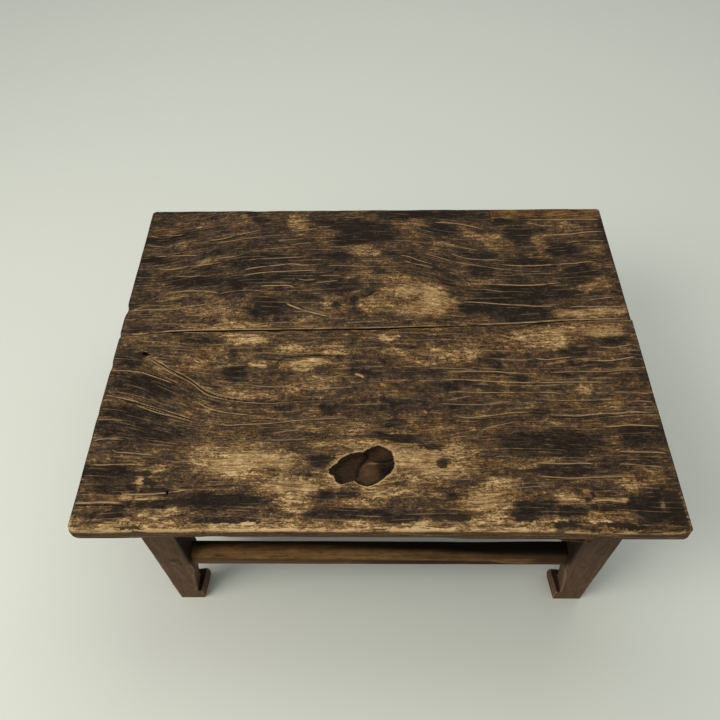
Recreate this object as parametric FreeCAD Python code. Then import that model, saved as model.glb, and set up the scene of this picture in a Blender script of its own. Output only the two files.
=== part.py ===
import FreeCAD, Part
import os

Vector = FreeCAD.Vector

# Low table for sitting on a heated bed platform or on the floor.
# Millimetres. X runs along the length, the front is towards -Y, and Z is up from the floor.
# The origin lies on the floor under the middle of the top.

# Overall size
TABLE_LENGTH = 800.0
TABLE_DEPTH = 606.0
TABLE_HEIGHT = 326.0

# Fits
FIT_CLEARANCE = 0.15    # round a tenon, pin, patch or batten in the hole or housing that holds it
CUT_OVERRUN = 3.0       # how far a cutting solid runs past the face it opens

# Top: two planks, worn round at their upper edge
TOP_THICKNESS = 29.0
TOP_ARRIS_RADIUS = 3.5
UNDERSIDE_ARRIS_RADIUS = 1.5
CORNER_RADIUS_FRONT_LEFT = 15.0
CORNER_RADIUS_FRONT_RIGHT = 7.0
CORNER_RADIUS_BACK_LEFT = 9.0
CORNER_RADIUS_BACK_RIGHT = 6.0

# Joint between the planks, which tapers because the tree did
SEAM_GAP = 0.5
SEAM_Y_LEFT = 16.0
SEAM_Y_RIGHT = 46.0
BACK_PLANK_SHORTFALL = 2.0    # the back plank's right end stops short of the front plank's
SEAM_PIN_COUNT = 4
SEAM_PIN_DIAMETER = 8.0
SEAM_PIN_LENGTH = 70.0

# Strip let into the back right corner of the top
PATCH_LENGTH = 195.0
PATCH_WIDTH = 25.0
PATCH_THICKNESS = 12.0

# Hollow left by a large knot that has rotted out near the front edge
KNOT_LENGTH = 88.0
KNOT_WIDTH = 62.0
KNOT_DEPTH = 10.0
KNOT_WALL_SLOPE = 4.5
KNOT_X = -21.0
KNOT_FROM_FRONT = 93.0
KNOT_LOBE_LENGTH = 30.0
KNOT_LOBE_WIDTH = 17.0
KNOT_LOBE_HEIGHT = 5.0
KNOT_LOBE_X = 8.0
KNOT_LOBE_Y = -5.0
KNOT_OUTLINE_SHARES = (
    (-0.50, -0.11), (-0.37, 0.06), (-0.27, 0.24), (-0.13, 0.31), (0.03, 0.34), (0.15, 0.46), (0.27, 0.50),
    (0.45, 0.36), (0.50, 0.03), (0.39, -0.23), (0.24, -0.42), (0.08, -0.50), (-0.03, -0.44),
    (-0.11, -0.35), (-0.27, -0.43), (-0.39, -0.38), (-0.43, -0.22),
)

# Small knot hole near the left end
SMALL_KNOT_LENGTH = 13.0
SMALL_KNOT_WIDTH = 7.0
SMALL_KNOT_DEPTH = 7.0
SMALL_KNOT_FROM_LEFT = 49.0
SMALL_KNOT_FROM_FRONT = 284.0

# Legs: outer faces straight, inner faces scooped to an ankle above the hoof
LEG_WIDTH_LEFT = 49.0
LEG_WIDTH_RIGHT = 54.0
LEG_DEPTH = 46.0
OVERHANG_LEFT = 73.0
OVERHANG_RIGHT = 63.0
OVERHANG_FRONT = 20.0
OVERHANG_BACK = 20.0
LEG_ARRIS_RADIUS = 2.0
SCOOP_SIDE = 13.5       # how far the ankle draws in along the length of the table
SCOOP_BACK = 17.0       # and along its depth
SCOOP_BELLY_SHARE = 0.62
HOOF_HEIGHT = 33.0
HOOF_LEDGE_FALL = 3.0
HOOF_INSET_SIDE = 1.0
HOOF_INSET_BACK = 8.0
HOOF_TUCK = 4.0         # how far the hoof draws back in from its nose to the floor
HOOF_NOSE_HEIGHT = 20.0
HOOF_LIP = 2.0

# Leg tenons, which pass through the top and are wedged there
LEG_TENON_SHOULDER_OUTER = 10.0
LEG_TENON_SHOULDER_INNER = 2.0
LEG_TENON_SHOULDER_FACE = 8.0
LEG_TENON_SHOULDER_REAR = 7.0
WEDGE_LENGTH = 24.0
WEDGE_THICKNESS = 6.5
WEDGE_TIP_THICKNESS = 2.0

# Stretchers: rounded outside and flat inside
STRETCHER_WIDTH = 27.0
STRETCHER_HEIGHT = 36.0
STRETCHER_MID_HEIGHT = 145.0
STRETCHER_SETBACK = 5.0
STRETCHER_ARRIS_RADIUS = 5.0
STRETCHER_SHOULDER = 3.0
SIDE_STRETCHER_PLACE_SHARE = 0.55

# Stretcher tenons, which pass each other inside the leg
SIDE_TENON_THICKNESS = 18.0
SIDE_TENON_DEEP = 16.0
SIDE_TENON_THROUGH_HEIGHT = 14.0
LONG_TENON_THICKNESS = 12.0
LONG_TENON_END_WALL = 14.0
TENON_SPACING = 2.0

# Battens that slide into dovetailed housings in the underside
BATTEN_SPACING = 300.0
BATTEN_WIDTH = 32.0
BATTEN_HEIGHT = 20.0
BATTEN_NECK = 22.0
BATTEN_FLARE = 29.0
BATTEN_HOUSING_DEPTH = 9.0
BATTEN_FRONT_STOP = 60.0
BATTEN_BACK_INSET = 6.0
BATTEN_ARRIS = 3.0

# Levels and lines that follow from the sizes above
UNDERSIDE = TABLE_HEIGHT - TOP_THICKNESS
LEFT_END = -TABLE_LENGTH / 2
RIGHT_END = TABLE_LENGTH / 2
BACK_PLANK_END = RIGHT_END - BACK_PLANK_SHORTFALL
FRONT_EDGE = -TABLE_DEPTH / 2
BACK_EDGE = TABLE_DEPTH / 2
LEG_FACE_LEFT = LEFT_END + OVERHANG_LEFT
LEG_FACE_RIGHT = RIGHT_END - OVERHANG_RIGHT
LEG_FACE_FRONT = FRONT_EDGE + OVERHANG_FRONT
LEG_FACE_BACK = BACK_EDGE - OVERHANG_BACK
STRETCHER_BOTTOM = STRETCHER_MID_HEIGHT - STRETCHER_HEIGHT / 2
STRETCHER_TOP = STRETCHER_MID_HEIGHT + STRETCHER_HEIGHT / 2
BATTEN_PLACES = (-BATTEN_SPACING / 2, BATTEN_SPACING / 2)
LEFT, RIGHT, FRONT, BACK = "left", "right", "front", "back"
LEG_WIDTH = {LEFT: LEG_WIDTH_LEFT, RIGHT: LEG_WIDTH_RIGHT}


def box(low, high):
    """A box between two corners given as (x, y, z)."""
    size = [b - a for a, b in zip(low, high)]
    return Part.makeBox(size[0], size[1], size[2], Vector(*low))


def prism(points, direction):
    """Extrudes the closed straight outline through the points."""
    corners = [Vector(*p) for p in points]
    wire = Part.makePolygon(corners + corners[:1])
    return Part.Face(wire).extrude(direction)


def export(name, shape):
    """Writes one piece under its own name."""
    shape = shape.removeSplitter()
    shape.exportStep("parts/%s.step" % name)
    print("%-22s solids %d volume %.0f valid %s" % (name, len(shape.Solids), shape.Volume, shape.isValid()))


def corner_arc(corner, radius, towards_x, towards_y):
    """Quarter arc of one rounded corner of the top, with its end on the X side first."""
    centre = corner + Vector(towards_x * radius, towards_y * radius, 0)
    circle = Part.Circle(centre, Vector(0, 0, 1), radius)
    middle_reach = Vector(-towards_x, -towards_y, 0).normalize() * radius
    start = Vector(centre.x, corner.y, corner.z)
    end = Vector(corner.x, centre.y, corner.z)
    return Part.Arc(start, circle.Center + middle_reach, end).toShape(), start, end


def top_outline(right_end):
    """Outline of the whole top at its underside, with its right end at a given place."""
    arcs = {}
    for key, x, y, radius, tx, ty in (
        ("fl", LEFT_END, FRONT_EDGE, CORNER_RADIUS_FRONT_LEFT, 1, 1),
        ("fr", right_end, FRONT_EDGE, CORNER_RADIUS_FRONT_RIGHT, -1, 1),
        ("br", right_end, BACK_EDGE, CORNER_RADIUS_BACK_RIGHT, -1, -1),
        ("bl", LEFT_END, BACK_EDGE, CORNER_RADIUS_BACK_LEFT, 1, -1),
    ):
        arcs[key] = corner_arc(Vector(x, y, UNDERSIDE), radius, tx, ty)
    edges = [arc for arc, _, _ in arcs.values()]
    edges.append(Part.makeLine(arcs["fl"][1], arcs["fr"][1]))
    edges.append(Part.makeLine(arcs["fr"][2], arcs["br"][2]))
    edges.append(Part.makeLine(arcs["br"][1], arcs["bl"][1]))
    edges.append(Part.makeLine(arcs["bl"][2], arcs["fl"][2]))
    return Part.Wire(Part.__sortEdges__(edges))


def top_blank(right_end):
    """The whole top before it is parted into planks, with its worn edges."""
    blank = Part.Face(top_outline(right_end)).extrude(Vector(0, 0, TOP_THICKNESS))
    for level, radius in ((TABLE_HEIGHT, TOP_ARRIS_RADIUS), (UNDERSIDE, UNDERSIDE_ARRIS_RADIUS)):
        rim = [e for e in blank.Edges if all(abs(v.Z - level) < radius / 2 for v in e.Vertexes)]
        blank = blank.makeFillet(radius, rim)
    return blank


def seam_y(x):
    """Middle of the joint between the planks at one place along the table."""
    along = (x - LEFT_END) / TABLE_LENGTH
    return SEAM_Y_LEFT + (SEAM_Y_RIGHT - SEAM_Y_LEFT) * along


def plank_region(side):
    """Room on one side of the joint, as a prism that is taller and longer than the top."""
    half_gap = SEAM_GAP / 2 if side == BACK else -SEAM_GAP / 2
    far = BACK_EDGE + CUT_OVERRUN if side == BACK else FRONT_EDGE - CUT_OVERRUN
    low = UNDERSIDE - CUT_OVERRUN
    left, right = LEFT_END - CUT_OVERRUN, RIGHT_END + CUT_OVERRUN
    points = [(left, seam_y(left) + half_gap, low), (right, seam_y(right) + half_gap, low),
              (right, far, low), (left, far, low)]
    return prism(points, Vector(0, 0, TOP_THICKNESS + 2 * CUT_OVERRUN))


def seam_pins(grow):
    """Pins across the joint, or with grow the holes for them."""
    radius = SEAM_PIN_DIAMETER / 2 + grow
    length = SEAM_PIN_LENGTH + 2 * grow
    spacing = TABLE_LENGTH / SEAM_PIN_COUNT
    level = UNDERSIDE + TOP_THICKNESS / 2
    pins = []
    for index in range(SEAM_PIN_COUNT):
        x = LEFT_END + spacing * (index + 1 / 2)
        start = Vector(x, seam_y(x) - length / 2, level)
        pins.append(Part.makeCylinder(radius, length, start, Vector(0, 1, 0)))
    return pins


def patch_room(grow):
    """Rebate of the repair strip, or with a negative grow the strip's own room."""
    left = BACK_PLANK_END - PATCH_LENGTH - grow
    low = (left, BACK_EDGE - PATCH_WIDTH - grow, TABLE_HEIGHT - PATCH_THICKNESS)
    high = (RIGHT_END + CUT_OVERRUN, BACK_EDGE + CUT_OVERRUN, TABLE_HEIGHT + CUT_OVERRUN)
    return box(low, high)


def knot_ring(inset, level):
    """Closed curve round the knot hollow at one level."""
    length = KNOT_LENGTH - 2 * inset
    width = KNOT_WIDTH - 2 * inset
    middle = Vector(KNOT_X, FRONT_EDGE + KNOT_FROM_FRONT, level)
    points = [middle + Vector(sx * length, sy * width, 0) for sx, sy in KNOT_OUTLINE_SHARES]
    curve = Part.BSplineCurve()
    curve.interpolate(points, PeriodicFlag=True)
    return Part.Wire(curve.toShape())


def knot_hollow():
    """The rotted-out knot: sloping walls and a lobe of harder wood left on its floor."""
    floor = TABLE_HEIGHT - KNOT_DEPTH
    slope = KNOT_WALL_SLOPE / KNOT_DEPTH
    mouth = knot_ring(-slope * CUT_OVERRUN, TABLE_HEIGHT + CUT_OVERRUN)
    hollow = Part.makeLoft([mouth, knot_ring(KNOT_WALL_SLOPE, floor)], True, True)
    middle = Vector(KNOT_X + KNOT_LOBE_X, FRONT_EDGE + KNOT_FROM_FRONT + KNOT_LOBE_Y, floor)
    lobe = ellipse_prism(middle, KNOT_LOBE_LENGTH, KNOT_LOBE_WIDTH, KNOT_LOBE_HEIGHT)
    return hollow.cut(lobe)


def ellipse_prism(middle, length, width, height):
    """Upright solid on an ellipse whose long axis is along X."""
    curve = Part.Ellipse(middle, length / 2, width / 2)
    return Part.Face(Part.Wire(curve.toShape())).extrude(Vector(0, 0, height))


def small_knot_hole():
    """Hole of the small knot near the left end."""
    middle = Vector(LEFT_END + SMALL_KNOT_FROM_LEFT, FRONT_EDGE + SMALL_KNOT_FROM_FRONT,
                    TABLE_HEIGHT - SMALL_KNOT_DEPTH)
    return ellipse_prism(middle, SMALL_KNOT_LENGTH, SMALL_KNOT_WIDTH, SMALL_KNOT_DEPTH + CUT_OVERRUN)


def to_corner(shape, side, end):
    """Carries a shape from leg coordinates to one corner of the table.

    Leg coordinates start at the leg's outer corner: u runs inward along the table's length,
    v inward along its depth, and z up from the floor.
    """
    if side == RIGHT:
        shape = shape.mirror(Vector(0, 0, 0), Vector(1, 0, 0))
    if end == BACK:
        shape = shape.mirror(Vector(0, 0, 0), Vector(0, 1, 0))
    x = LEG_FACE_LEFT if side == LEFT else LEG_FACE_RIGHT
    y = LEG_FACE_FRONT if end == FRONT else LEG_FACE_BACK
    return shape.translated(Vector(x, y, 0))


def leg_profile(full, scoop, hoof_inset):
    """Side view of a leg as a closed wire, with its straight outer face at zero."""
    ankle = full - scoop
    nose = full - hoof_inset
    ledge_outer = HOOF_HEIGHT - HOOF_LEDGE_FALL
    belly_height = (HOOF_HEIGHT + STRETCHER_BOTTOM) / 2
    belly = full - scoop * SCOOP_BELLY_SHARE
    heel, toe = Vector(0, 0, 0), Vector(nose - HOOF_TUCK, 0, 0)
    lip, ankle_point = Vector(nose - HOOF_LIP, 0, ledge_outer), Vector(ankle, 0, HOOF_HEIGHT)
    scoop_top, shoulder = Vector(full, 0, STRETCHER_BOTTOM), Vector(full, 0, UNDERSIDE)
    outer_top = Vector(0, 0, UNDERSIDE)
    edges = [
        Part.makeLine(heel, toe),
        Part.Arc(toe, Vector(nose, 0, HOOF_NOSE_HEIGHT), lip).toShape(),
        Part.makeLine(lip, ankle_point),
        Part.Arc(ankle_point, Vector(belly, 0, belly_height), scoop_top).toShape(),
        Part.makeLine(scoop_top, shoulder),
        Part.makeLine(shoulder, outer_top),
        Part.makeLine(outer_top, heel),
    ]
    return Part.Wire(edges)


def leg_body(width):
    """Leg without joints: the shape that is left after sawing both views from a square timber."""
    side_view = Part.Face(leg_profile(width, SCOOP_SIDE, HOOF_INSET_SIDE))
    end_view = Part.Face(leg_profile(LEG_DEPTH, SCOOP_BACK, HOOF_INSET_BACK))
    across = side_view.extrude(Vector(0, LEG_DEPTH, 0))
    end_view.rotate(Vector(0, 0, 0), Vector(0, 0, 1), 90)
    along = end_view.extrude(Vector(width, 0, 0))
    body = across.common(along)
    arrises = [e for e in body.Edges if abs(e.Vertexes[0].Z - e.Vertexes[-1].Z) > HOOF_HEIGHT]
    return body.makeFillet(LEG_ARRIS_RADIUS, arrises)


def leg_tenon(width, grow):
    """Tenon on top of a leg, or with grow the mortise through the top."""
    low = (LEG_TENON_SHOULDER_OUTER - grow, LEG_TENON_SHOULDER_FACE - grow, UNDERSIDE)
    high = (width - LEG_TENON_SHOULDER_INNER + grow, LEG_DEPTH - LEG_TENON_SHOULDER_REAR + grow, TABLE_HEIGHT)
    if grow:
        low = low[:2] + (UNDERSIDE - CUT_OVERRUN,)
        high = high[:2] + (TABLE_HEIGHT + CUT_OVERRUN,)
    return box(low, high)


def tenon_wedge(width, grow):
    """Wedge in the end of a leg tenon, or with grow the kerf it is driven into."""
    middle = (LEG_TENON_SHOULDER_FACE + LEG_DEPTH - LEG_TENON_SHOULDER_REAR) / 2
    start = LEG_TENON_SHOULDER_OUTER
    end = width - LEG_TENON_SHOULDER_INNER
    overrun = CUT_OVERRUN if grow else 0
    top = WEDGE_THICKNESS / 2 + grow
    tip = WEDGE_TIP_THICKNESS / 2 + grow
    tip_level = TABLE_HEIGHT - WEDGE_LENGTH - grow
    slope = (top - tip) / WEDGE_LENGTH
    head = top + slope * overrun
    head_level = TABLE_HEIGHT + overrun
    x = start - overrun
    points = [(x, middle - tip, tip_level), (x, middle + tip, tip_level),
              (x, middle + head, head_level), (x, middle - head, head_level)]
    return prism(points, Vector(end - start + 2 * overrun, 0, 0))


def side_tenon(width, grow):
    """End of a side stretcher inside a leg, whose upper half alone goes right through."""
    middle = width * SIDE_STRETCHER_PLACE_SHARE
    near = middle - SIDE_TENON_THICKNESS / 2 - grow
    far = middle + SIDE_TENON_THICKNESS / 2 + grow
    low = STRETCHER_BOTTOM + STRETCHER_SHOULDER - grow
    high = STRETCHER_TOP - STRETCHER_SHOULDER + grow
    step = STRETCHER_TOP - STRETCHER_SHOULDER - SIDE_TENON_THROUGH_HEIGHT - grow
    overrun = CUT_OVERRUN if grow else 0
    deep = box((near, LEG_DEPTH - SIDE_TENON_DEEP - grow, low), (far, LEG_DEPTH + overrun, high))
    through = box((near, -overrun, step), (far, LEG_DEPTH, high))
    return deep.fuse(through)


def long_tenon(width, grow):
    """End of a long stretcher inside a leg, below the through part of the side tenon."""
    middle = STRETCHER_SETBACK + STRETCHER_WIDTH / 2
    low = STRETCHER_BOTTOM + STRETCHER_SHOULDER
    side_step = STRETCHER_TOP - STRETCHER_SHOULDER - SIDE_TENON_THROUGH_HEIGHT
    overrun = CUT_OVERRUN if grow else 0
    return box((LONG_TENON_END_WALL - grow, middle - LONG_TENON_THICKNESS / 2 - grow, low - grow),
               (width + overrun, middle + LONG_TENON_THICKNESS / 2 + grow, side_step - TENON_SPACING + grow))


def leg(side, end):
    """One leg with its tenon, kerf and the mortises of both stretchers."""
    width = LEG_WIDTH[side]
    shape = leg_body(width).fuse(leg_tenon(width, 0))
    for hole in (tenon_wedge(width, FIT_CLEARANCE), side_tenon(width, FIT_CLEARANCE),
                 long_tenon(width, FIT_CLEARANCE)):
        shape = shape.cut(hole)
    return to_corner(shape, side, end)


def stretcher_section():
    """Section of a stretcher as a face in the YZ plane, with its rounded outer side towards -Y."""
    half_w, half_h, r = STRETCHER_WIDTH / 2, STRETCHER_HEIGHT / 2, STRETCHER_ARRIS_RADIUS
    reach = r * (1 - 0.5 ** 0.5)
    crown, sole = Vector(0, 0, half_h), Vector(0, 0, -half_h)
    top_start, top_end = Vector(0, half_w - r, half_h), Vector(0, half_w, half_h - r)
    low_start, low_end = Vector(0, half_w, r - half_h), Vector(0, half_w - r, -half_h)
    top_mid = Vector(0, half_w - reach, half_h - reach)
    low_mid = Vector(0, half_w - reach, reach - half_h)
    edges = [
        Part.Arc(sole, Vector(0, -half_w, 0), crown).toShape(),
        Part.makeLine(crown, top_start),
        Part.Arc(top_start, top_mid, top_end).toShape(),
        Part.makeLine(top_end, low_start),
        Part.Arc(low_start, low_mid, low_end).toShape(),
        Part.makeLine(low_end, sole),
    ]
    return Part.Face(Part.Wire(edges))


def long_stretcher(end):
    """Front or back stretcher with a stub tenon in each leg."""
    start = LEG_FACE_LEFT + LEG_WIDTH_LEFT
    length = LEG_FACE_RIGHT - LEG_WIDTH_RIGHT - start
    section = stretcher_section()
    if end == BACK:
        section = section.mirror(Vector(0, 0, 0), Vector(0, 1, 0))
    inward = STRETCHER_SETBACK + STRETCHER_WIDTH / 2
    y = LEG_FACE_FRONT + inward if end == FRONT else LEG_FACE_BACK - inward
    section.translate(Vector(start, y, STRETCHER_MID_HEIGHT))
    shape = section.extrude(Vector(length, 0, 0))
    for side in (LEFT, RIGHT):
        shape = shape.fuse(to_corner(long_tenon(LEG_WIDTH[side], 0), side, end))
    return shape


def side_stretcher(side):
    """Left or right stretcher, whose tenons show in the faces of the legs."""
    start = LEG_FACE_FRONT + LEG_DEPTH
    length = LEG_FACE_BACK - LEG_DEPTH - start
    section = stretcher_section()
    section.rotate(Vector(0, 0, 0), Vector(0, 0, 1), -90 if side == LEFT else 90)
    inward = LEG_WIDTH[side] * SIDE_STRETCHER_PLACE_SHARE
    x = LEG_FACE_LEFT + inward if side == LEFT else LEG_FACE_RIGHT - inward
    section.translate(Vector(x, start, STRETCHER_MID_HEIGHT))
    shape = section.extrude(Vector(0, length, 0))
    for end in (FRONT, BACK):
        shape = shape.fuse(to_corner(side_tenon(LEG_WIDTH[side], 0), side, end))
    return shape


def batten_dovetail(x, grow):
    """Dovetailed upper part of a batten, or with grow its housing, which is open at the back edge."""
    neck, flare = BATTEN_NECK / 2 + grow, BATTEN_FLARE / 2 + grow
    top = UNDERSIDE + BATTEN_HOUSING_DEPTH + grow
    front = FRONT_EDGE + BATTEN_FRONT_STOP - grow
    back = BACK_EDGE + CUT_OVERRUN if grow else BACK_EDGE - BATTEN_BACK_INSET
    points = [(x - neck, front, UNDERSIDE), (x + neck, front, UNDERSIDE), (x + flare, front, top),
              (x - flare, front, top)]
    return prism(points, Vector(0, back - front, 0))


def batten(x):
    """Batten whose lower part bears against the underside of the top."""
    half, bottom = BATTEN_WIDTH / 2, UNDERSIDE - BATTEN_HEIGHT
    front, back = FRONT_EDGE + BATTEN_FRONT_STOP, BACK_EDGE - BATTEN_BACK_INSET
    points = [(x - half, front, UNDERSIDE), (x - half, front, bottom + BATTEN_ARRIS),
              (x - half + BATTEN_ARRIS, front, bottom), (x + half - BATTEN_ARRIS, front, bottom),
              (x + half, front, bottom + BATTEN_ARRIS), (x + half, front, UNDERSIDE)]
    body = prism(points, Vector(0, back - front, 0))
    return body.fuse(batten_dovetail(x, 0))


def plank(end, blank):
    """One plank of the top with all that is cut into it."""
    shape = blank.common(plank_region(end))
    cuts = seam_pins(FIT_CLEARANCE)
    cuts += [to_corner(leg_tenon(LEG_WIDTH[side], FIT_CLEARANCE), side, end) for side in (LEFT, RIGHT)]
    cuts += [batten_dovetail(x, FIT_CLEARANCE) for x in BATTEN_PLACES]
    cuts += [knot_hollow(), small_knot_hole()] if end == FRONT else [patch_room(0)]
    for solid in cuts:
        shape = shape.cut(solid)
    return shape


def main():
    os.makedirs("parts", exist_ok=True)
    back_blank = top_blank(BACK_PLANK_END)
    export("top_plank_front", plank(FRONT, top_blank(RIGHT_END)))
    export("top_plank_back", plank(BACK, back_blank))
    export("corner_patch", back_blank.common(patch_room(-FIT_CLEARANCE)))
    export("seam_pins", Part.makeCompound(seam_pins(0)))
    for x, side in zip(BATTEN_PLACES, (LEFT, RIGHT)):
        export("batten_" + side, batten(x))
    for end in (FRONT, BACK):
        export("stretcher_" + end, long_stretcher(end))
        for side in (LEFT, RIGHT):
            export("leg_%s_%s" % (end, side), leg(side, end))
            wedge = to_corner(tenon_wedge(LEG_WIDTH[side], 0), side, end)
            export("wedge_%s_%s" % (end, side), wedge)
    for side in (LEFT, RIGHT):
        export("stretcher_" + side, side_stretcher(side))


main()
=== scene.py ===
import math
import bmesh
import bpy
import numpy as np
from mathutils import Matrix, Vector


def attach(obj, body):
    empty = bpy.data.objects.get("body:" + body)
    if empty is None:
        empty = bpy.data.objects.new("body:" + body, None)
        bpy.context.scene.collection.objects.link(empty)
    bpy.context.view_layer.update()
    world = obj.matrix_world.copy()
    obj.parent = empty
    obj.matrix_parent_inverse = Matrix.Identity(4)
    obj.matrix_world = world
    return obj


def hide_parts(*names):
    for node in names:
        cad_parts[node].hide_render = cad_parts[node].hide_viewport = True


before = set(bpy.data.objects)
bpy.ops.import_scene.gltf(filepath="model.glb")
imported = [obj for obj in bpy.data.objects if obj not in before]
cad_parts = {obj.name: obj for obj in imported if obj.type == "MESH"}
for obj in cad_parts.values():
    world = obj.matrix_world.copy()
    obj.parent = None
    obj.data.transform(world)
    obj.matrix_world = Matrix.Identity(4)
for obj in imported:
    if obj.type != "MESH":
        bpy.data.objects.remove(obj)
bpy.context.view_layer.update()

MM = 0.001

# Sizes of the table in millimetres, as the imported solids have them
LEFT_END, RIGHT_END, FRONT_EDGE, BACK_EDGE = -400.0, 400.0, -303.0, 303.0
BACK_PLANK_END = 398.0
TOP, UNDERSIDE = 326.0, 297.0
LEG_LEFT, LEG_RIGHT, LEG_FRONT, LEG_BACK = -327.0, 337.0, -283.0, 283.0
LEG_WIDTH = {"left": 49.0, "right": 54.0}
LEG_DEPTH = 46.0
RAIL_BOTTOM, RAIL_TOP, RAIL_WIDTH, RAIL_SETBACK = 127.0, 163.0, 27.0, 5.0
# Mean place of the planks' joint, middles of the battens, the patch and the rebate that it lies in
JOINT = 31.0
BATTENS = (-150, 150)
PATCH_LEFT, PATCH_FRONT, PATCH_BOTTOM = 203.2, 278.3, 314.2
REBATE = (202.6, 277.6, 314)
# Heights of the stretchers' tenons from their middle: the long stretchers' stubs pass under the side
# stretchers' through part, whose full height is housed only so deep
RAIL_MIDDLE = (RAIL_BOTTOM + RAIL_TOP) / 2
TENON_FOOT, STUB_HEAD, THROUGH_FOOT, TENON_HEAD = -15, -1, 1, 15
HOUSED = 16
# Half widths of the two kinds of tenon, how far a stub stays from the leg's outer face, and where the
# side stretchers lie in the width of their legs
STUB_HALF, THROUGH_HALF = 6, 9
STUB_STOP = 14
SIDE_RAIL_SHARE = 0.55
# Middle of the wedges in the depth of their legs
WEDGE_MIDDLE = 23.5
CORNERS = [(e, s) for e in ("front", "back") for s in ("left", "right")]
# Radius of the top's corners: front or back, left or right
CORNER_RADIUS = {"fl": 8.0, "fr": 3.2, "bl": 8.0, "br": 6.0}


def srgb(r, g, b):
    """A colour from 0 to 255 as shown, as the linear colour that shaders take."""
    out = []
    for c in (r, g, b):
        c /= 255
        out.append(c / 12.92 if c <= 0.04045 else ((c + 0.055) / 1.055) ** 2.4)
    return (*out, 1.0)


# Smooth fields

NOISE_CELLS = 97


def smooth(t):
    t = np.clip(t, 0, 1)
    return t * t * (3 - 2 * t)


def rise(v, low, high):
    """From 0 below low to 1 above high; low may be the larger."""
    return smooth((v - low) / (high - low))


def value_noise(x, y, seed):
    """Smooth noise from 0 to 1 whose features are about one unit across."""
    table = np.random.default_rng(seed).random((NOISE_CELLS, NOISE_CELLS))
    i, j = np.floor(x).astype(int), np.floor(y).astype(int)
    fx, fy = smooth(x - i), smooth(y - j)
    i, j = i % NOISE_CELLS, j % NOISE_CELLS
    k, l = (i + 1) % NOISE_CELLS, (j + 1) % NOISE_CELLS
    low = table[i, j] * (1 - fx) + table[k, j] * fx
    high = table[i, l] * (1 - fx) + table[k, l] * fx
    return low * (1 - fy) + high * fy


def noise(x, y, size_x, size_y, seed, octaves=2):
    """Noise about zero, from -1 to 1, with features of the given sizes."""
    total, weight, most = 0.0, 1.0, 0.0
    for n in range(octaves):
        total = total + weight * (value_noise(x / size_x * 2 ** n, y / size_y * 2 ** n, seed + n) * 2 - 1)
        most += weight
        weight *= 0.5
    return total / most


# The top's grain: lines of growth that bend round the branch at the left and dip at the right

# The crack below the branch, from left to right
BRANCH_CRACK = ((-400, 0), (-353, -21), (-326, -38), (-300, -55), (-271, -72), (-247, -91), (-216, -101),
                (-180, -107), (-110, -103))


def hump(t, middle, half, power=2):
    """1 at the middle of a place, falling off to both sides."""
    return np.exp(-((t - middle) / half) ** power)


def flow_shift(x, y):
    """How far the grain line through a place has moved back from where it starts at the left."""
    back = rise(y, 20, 150)
    shift = 38 * rise(x, -400, -195) * back
    shift = shift - 29 * rise(x, 30, 175) * back * (1 - 0.3 * rise(y, 230, 300))
    shift = shift + 9 * rise(x, 250, 400) * back
    # below the branch crack the grain bends down with it; above, it fans out gently
    bent = rise(x, -395, -200)
    crack = np.interp(x, *zip(*BRANCH_CRACK))
    width = 1.5 + 36 * rise(x, -165, -90)
    over = rise(y - crack, -width, width)
    below = -60 * bent * rise(y, -222, -110)
    below = below + 8 * rise(x, 130, 230) * rise(y, -60, -120) * rise(y, -200, -150)
    above = -32 * bent * rise(y, 24, -90)
    shift = shift + (below * (1 - over) + above * over) * (1 - back)
    shift = shift + 2 * np.sin(x / 41 + y / 60) * rise(x, 60, 160) * (1 - back)
    side = np.tanh((y + 210) / 14)
    near = hump(x, -20, 62) * np.exp(-np.abs(y + 210) / 48)
    return shift + 20 * side * near


def grain(x, y):
    """Which line of growth a place lies on, as its distance across the grain."""
    return y - flow_shift(x, y) + 2.5 * noise(x, y, 90, 40, 11)


# Where the two planks meet
SEAM = (
    (-400, 14), (-374, 18), (-340, 22), (-295, 25), (-200, 26), (-119, 27), (-60, 28), (6, 29), (95, 33),
    (150, 35), (208, 37), (250, 40), (284, 43), (340, 45), (401, 46),
)


def seam_line(x):
    xs, ys = zip(*SEAM)
    smoothed = sum(np.interp(x + d, xs, ys) for d in (-24, -12, 0, 12, 24)) / 5
    return smoothed + 0.5 * noise(x, 0, 22, 1, 5)


def seam_gap(x):
    """Half the width of the open joint, widest from the left third to the middle."""
    return 0.28 + 0.45 * rise(x, -330, -270) * rise(x, 130, 60) + 0.12 * noise(x, 0, 15, 1, 6)


# Outer outline, which wanders inward from the true rectangle

# Of each edge: seed of its wander, seed of its arris, radius of the arris, and how far that varies
EDGES = {
    "left": (21, 31, 2.2, 0.8),
    "right": (22, 32, 2.0, 0.7),
    "front": (23, 33, 4.4, 1.9),
    "back": (24, 34, 1.6, 0.5),
}
# Hollows worn into the edges: middle, half length, depth, and how square their ends are
HOLLOWS = {
    "left": ((69, 9, 3.0, 2), (-43, 8, 1.6, 2), (16, 4, 1.5, 2), (-128, 7, 0.8, 2)),
    "right": (),
    "front": ((-212, 16, 0.8, 4), (-318, 22, 0.7, 2)),
    "back": ((-205, 18, 1.4, 2),),
}


def edge_inset(side, t):
    """How far the worn edge lies inside the rectangle at a place along it."""
    inset = 0.3 + 0.25 * noise(t, 0, 60, 1, EDGES[side][0], 3)
    for middle, half, depth, power in HOLLOWS[side]:
        inset = inset + depth * hump(t, middle, half, power)
    if side == "back":
        inset = inset + 0.6 * noise(t, 0, 24, 1, 25)
    return np.maximum(inset, 0.1)


def arris_radius(side, t):
    """Radius that wear has given the upper edge."""
    _, seed, base, swing = EDGES[side]
    radius = base + swing * noise(t, 0, 34, 1, seed, 3)
    if side == "front":
        radius = radius + 3.0 * rise(t, -200, -270) + 5.5 * rise(t, 170, 290) - 4.0 * rise(t, 375, 398)
    return radius


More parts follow.
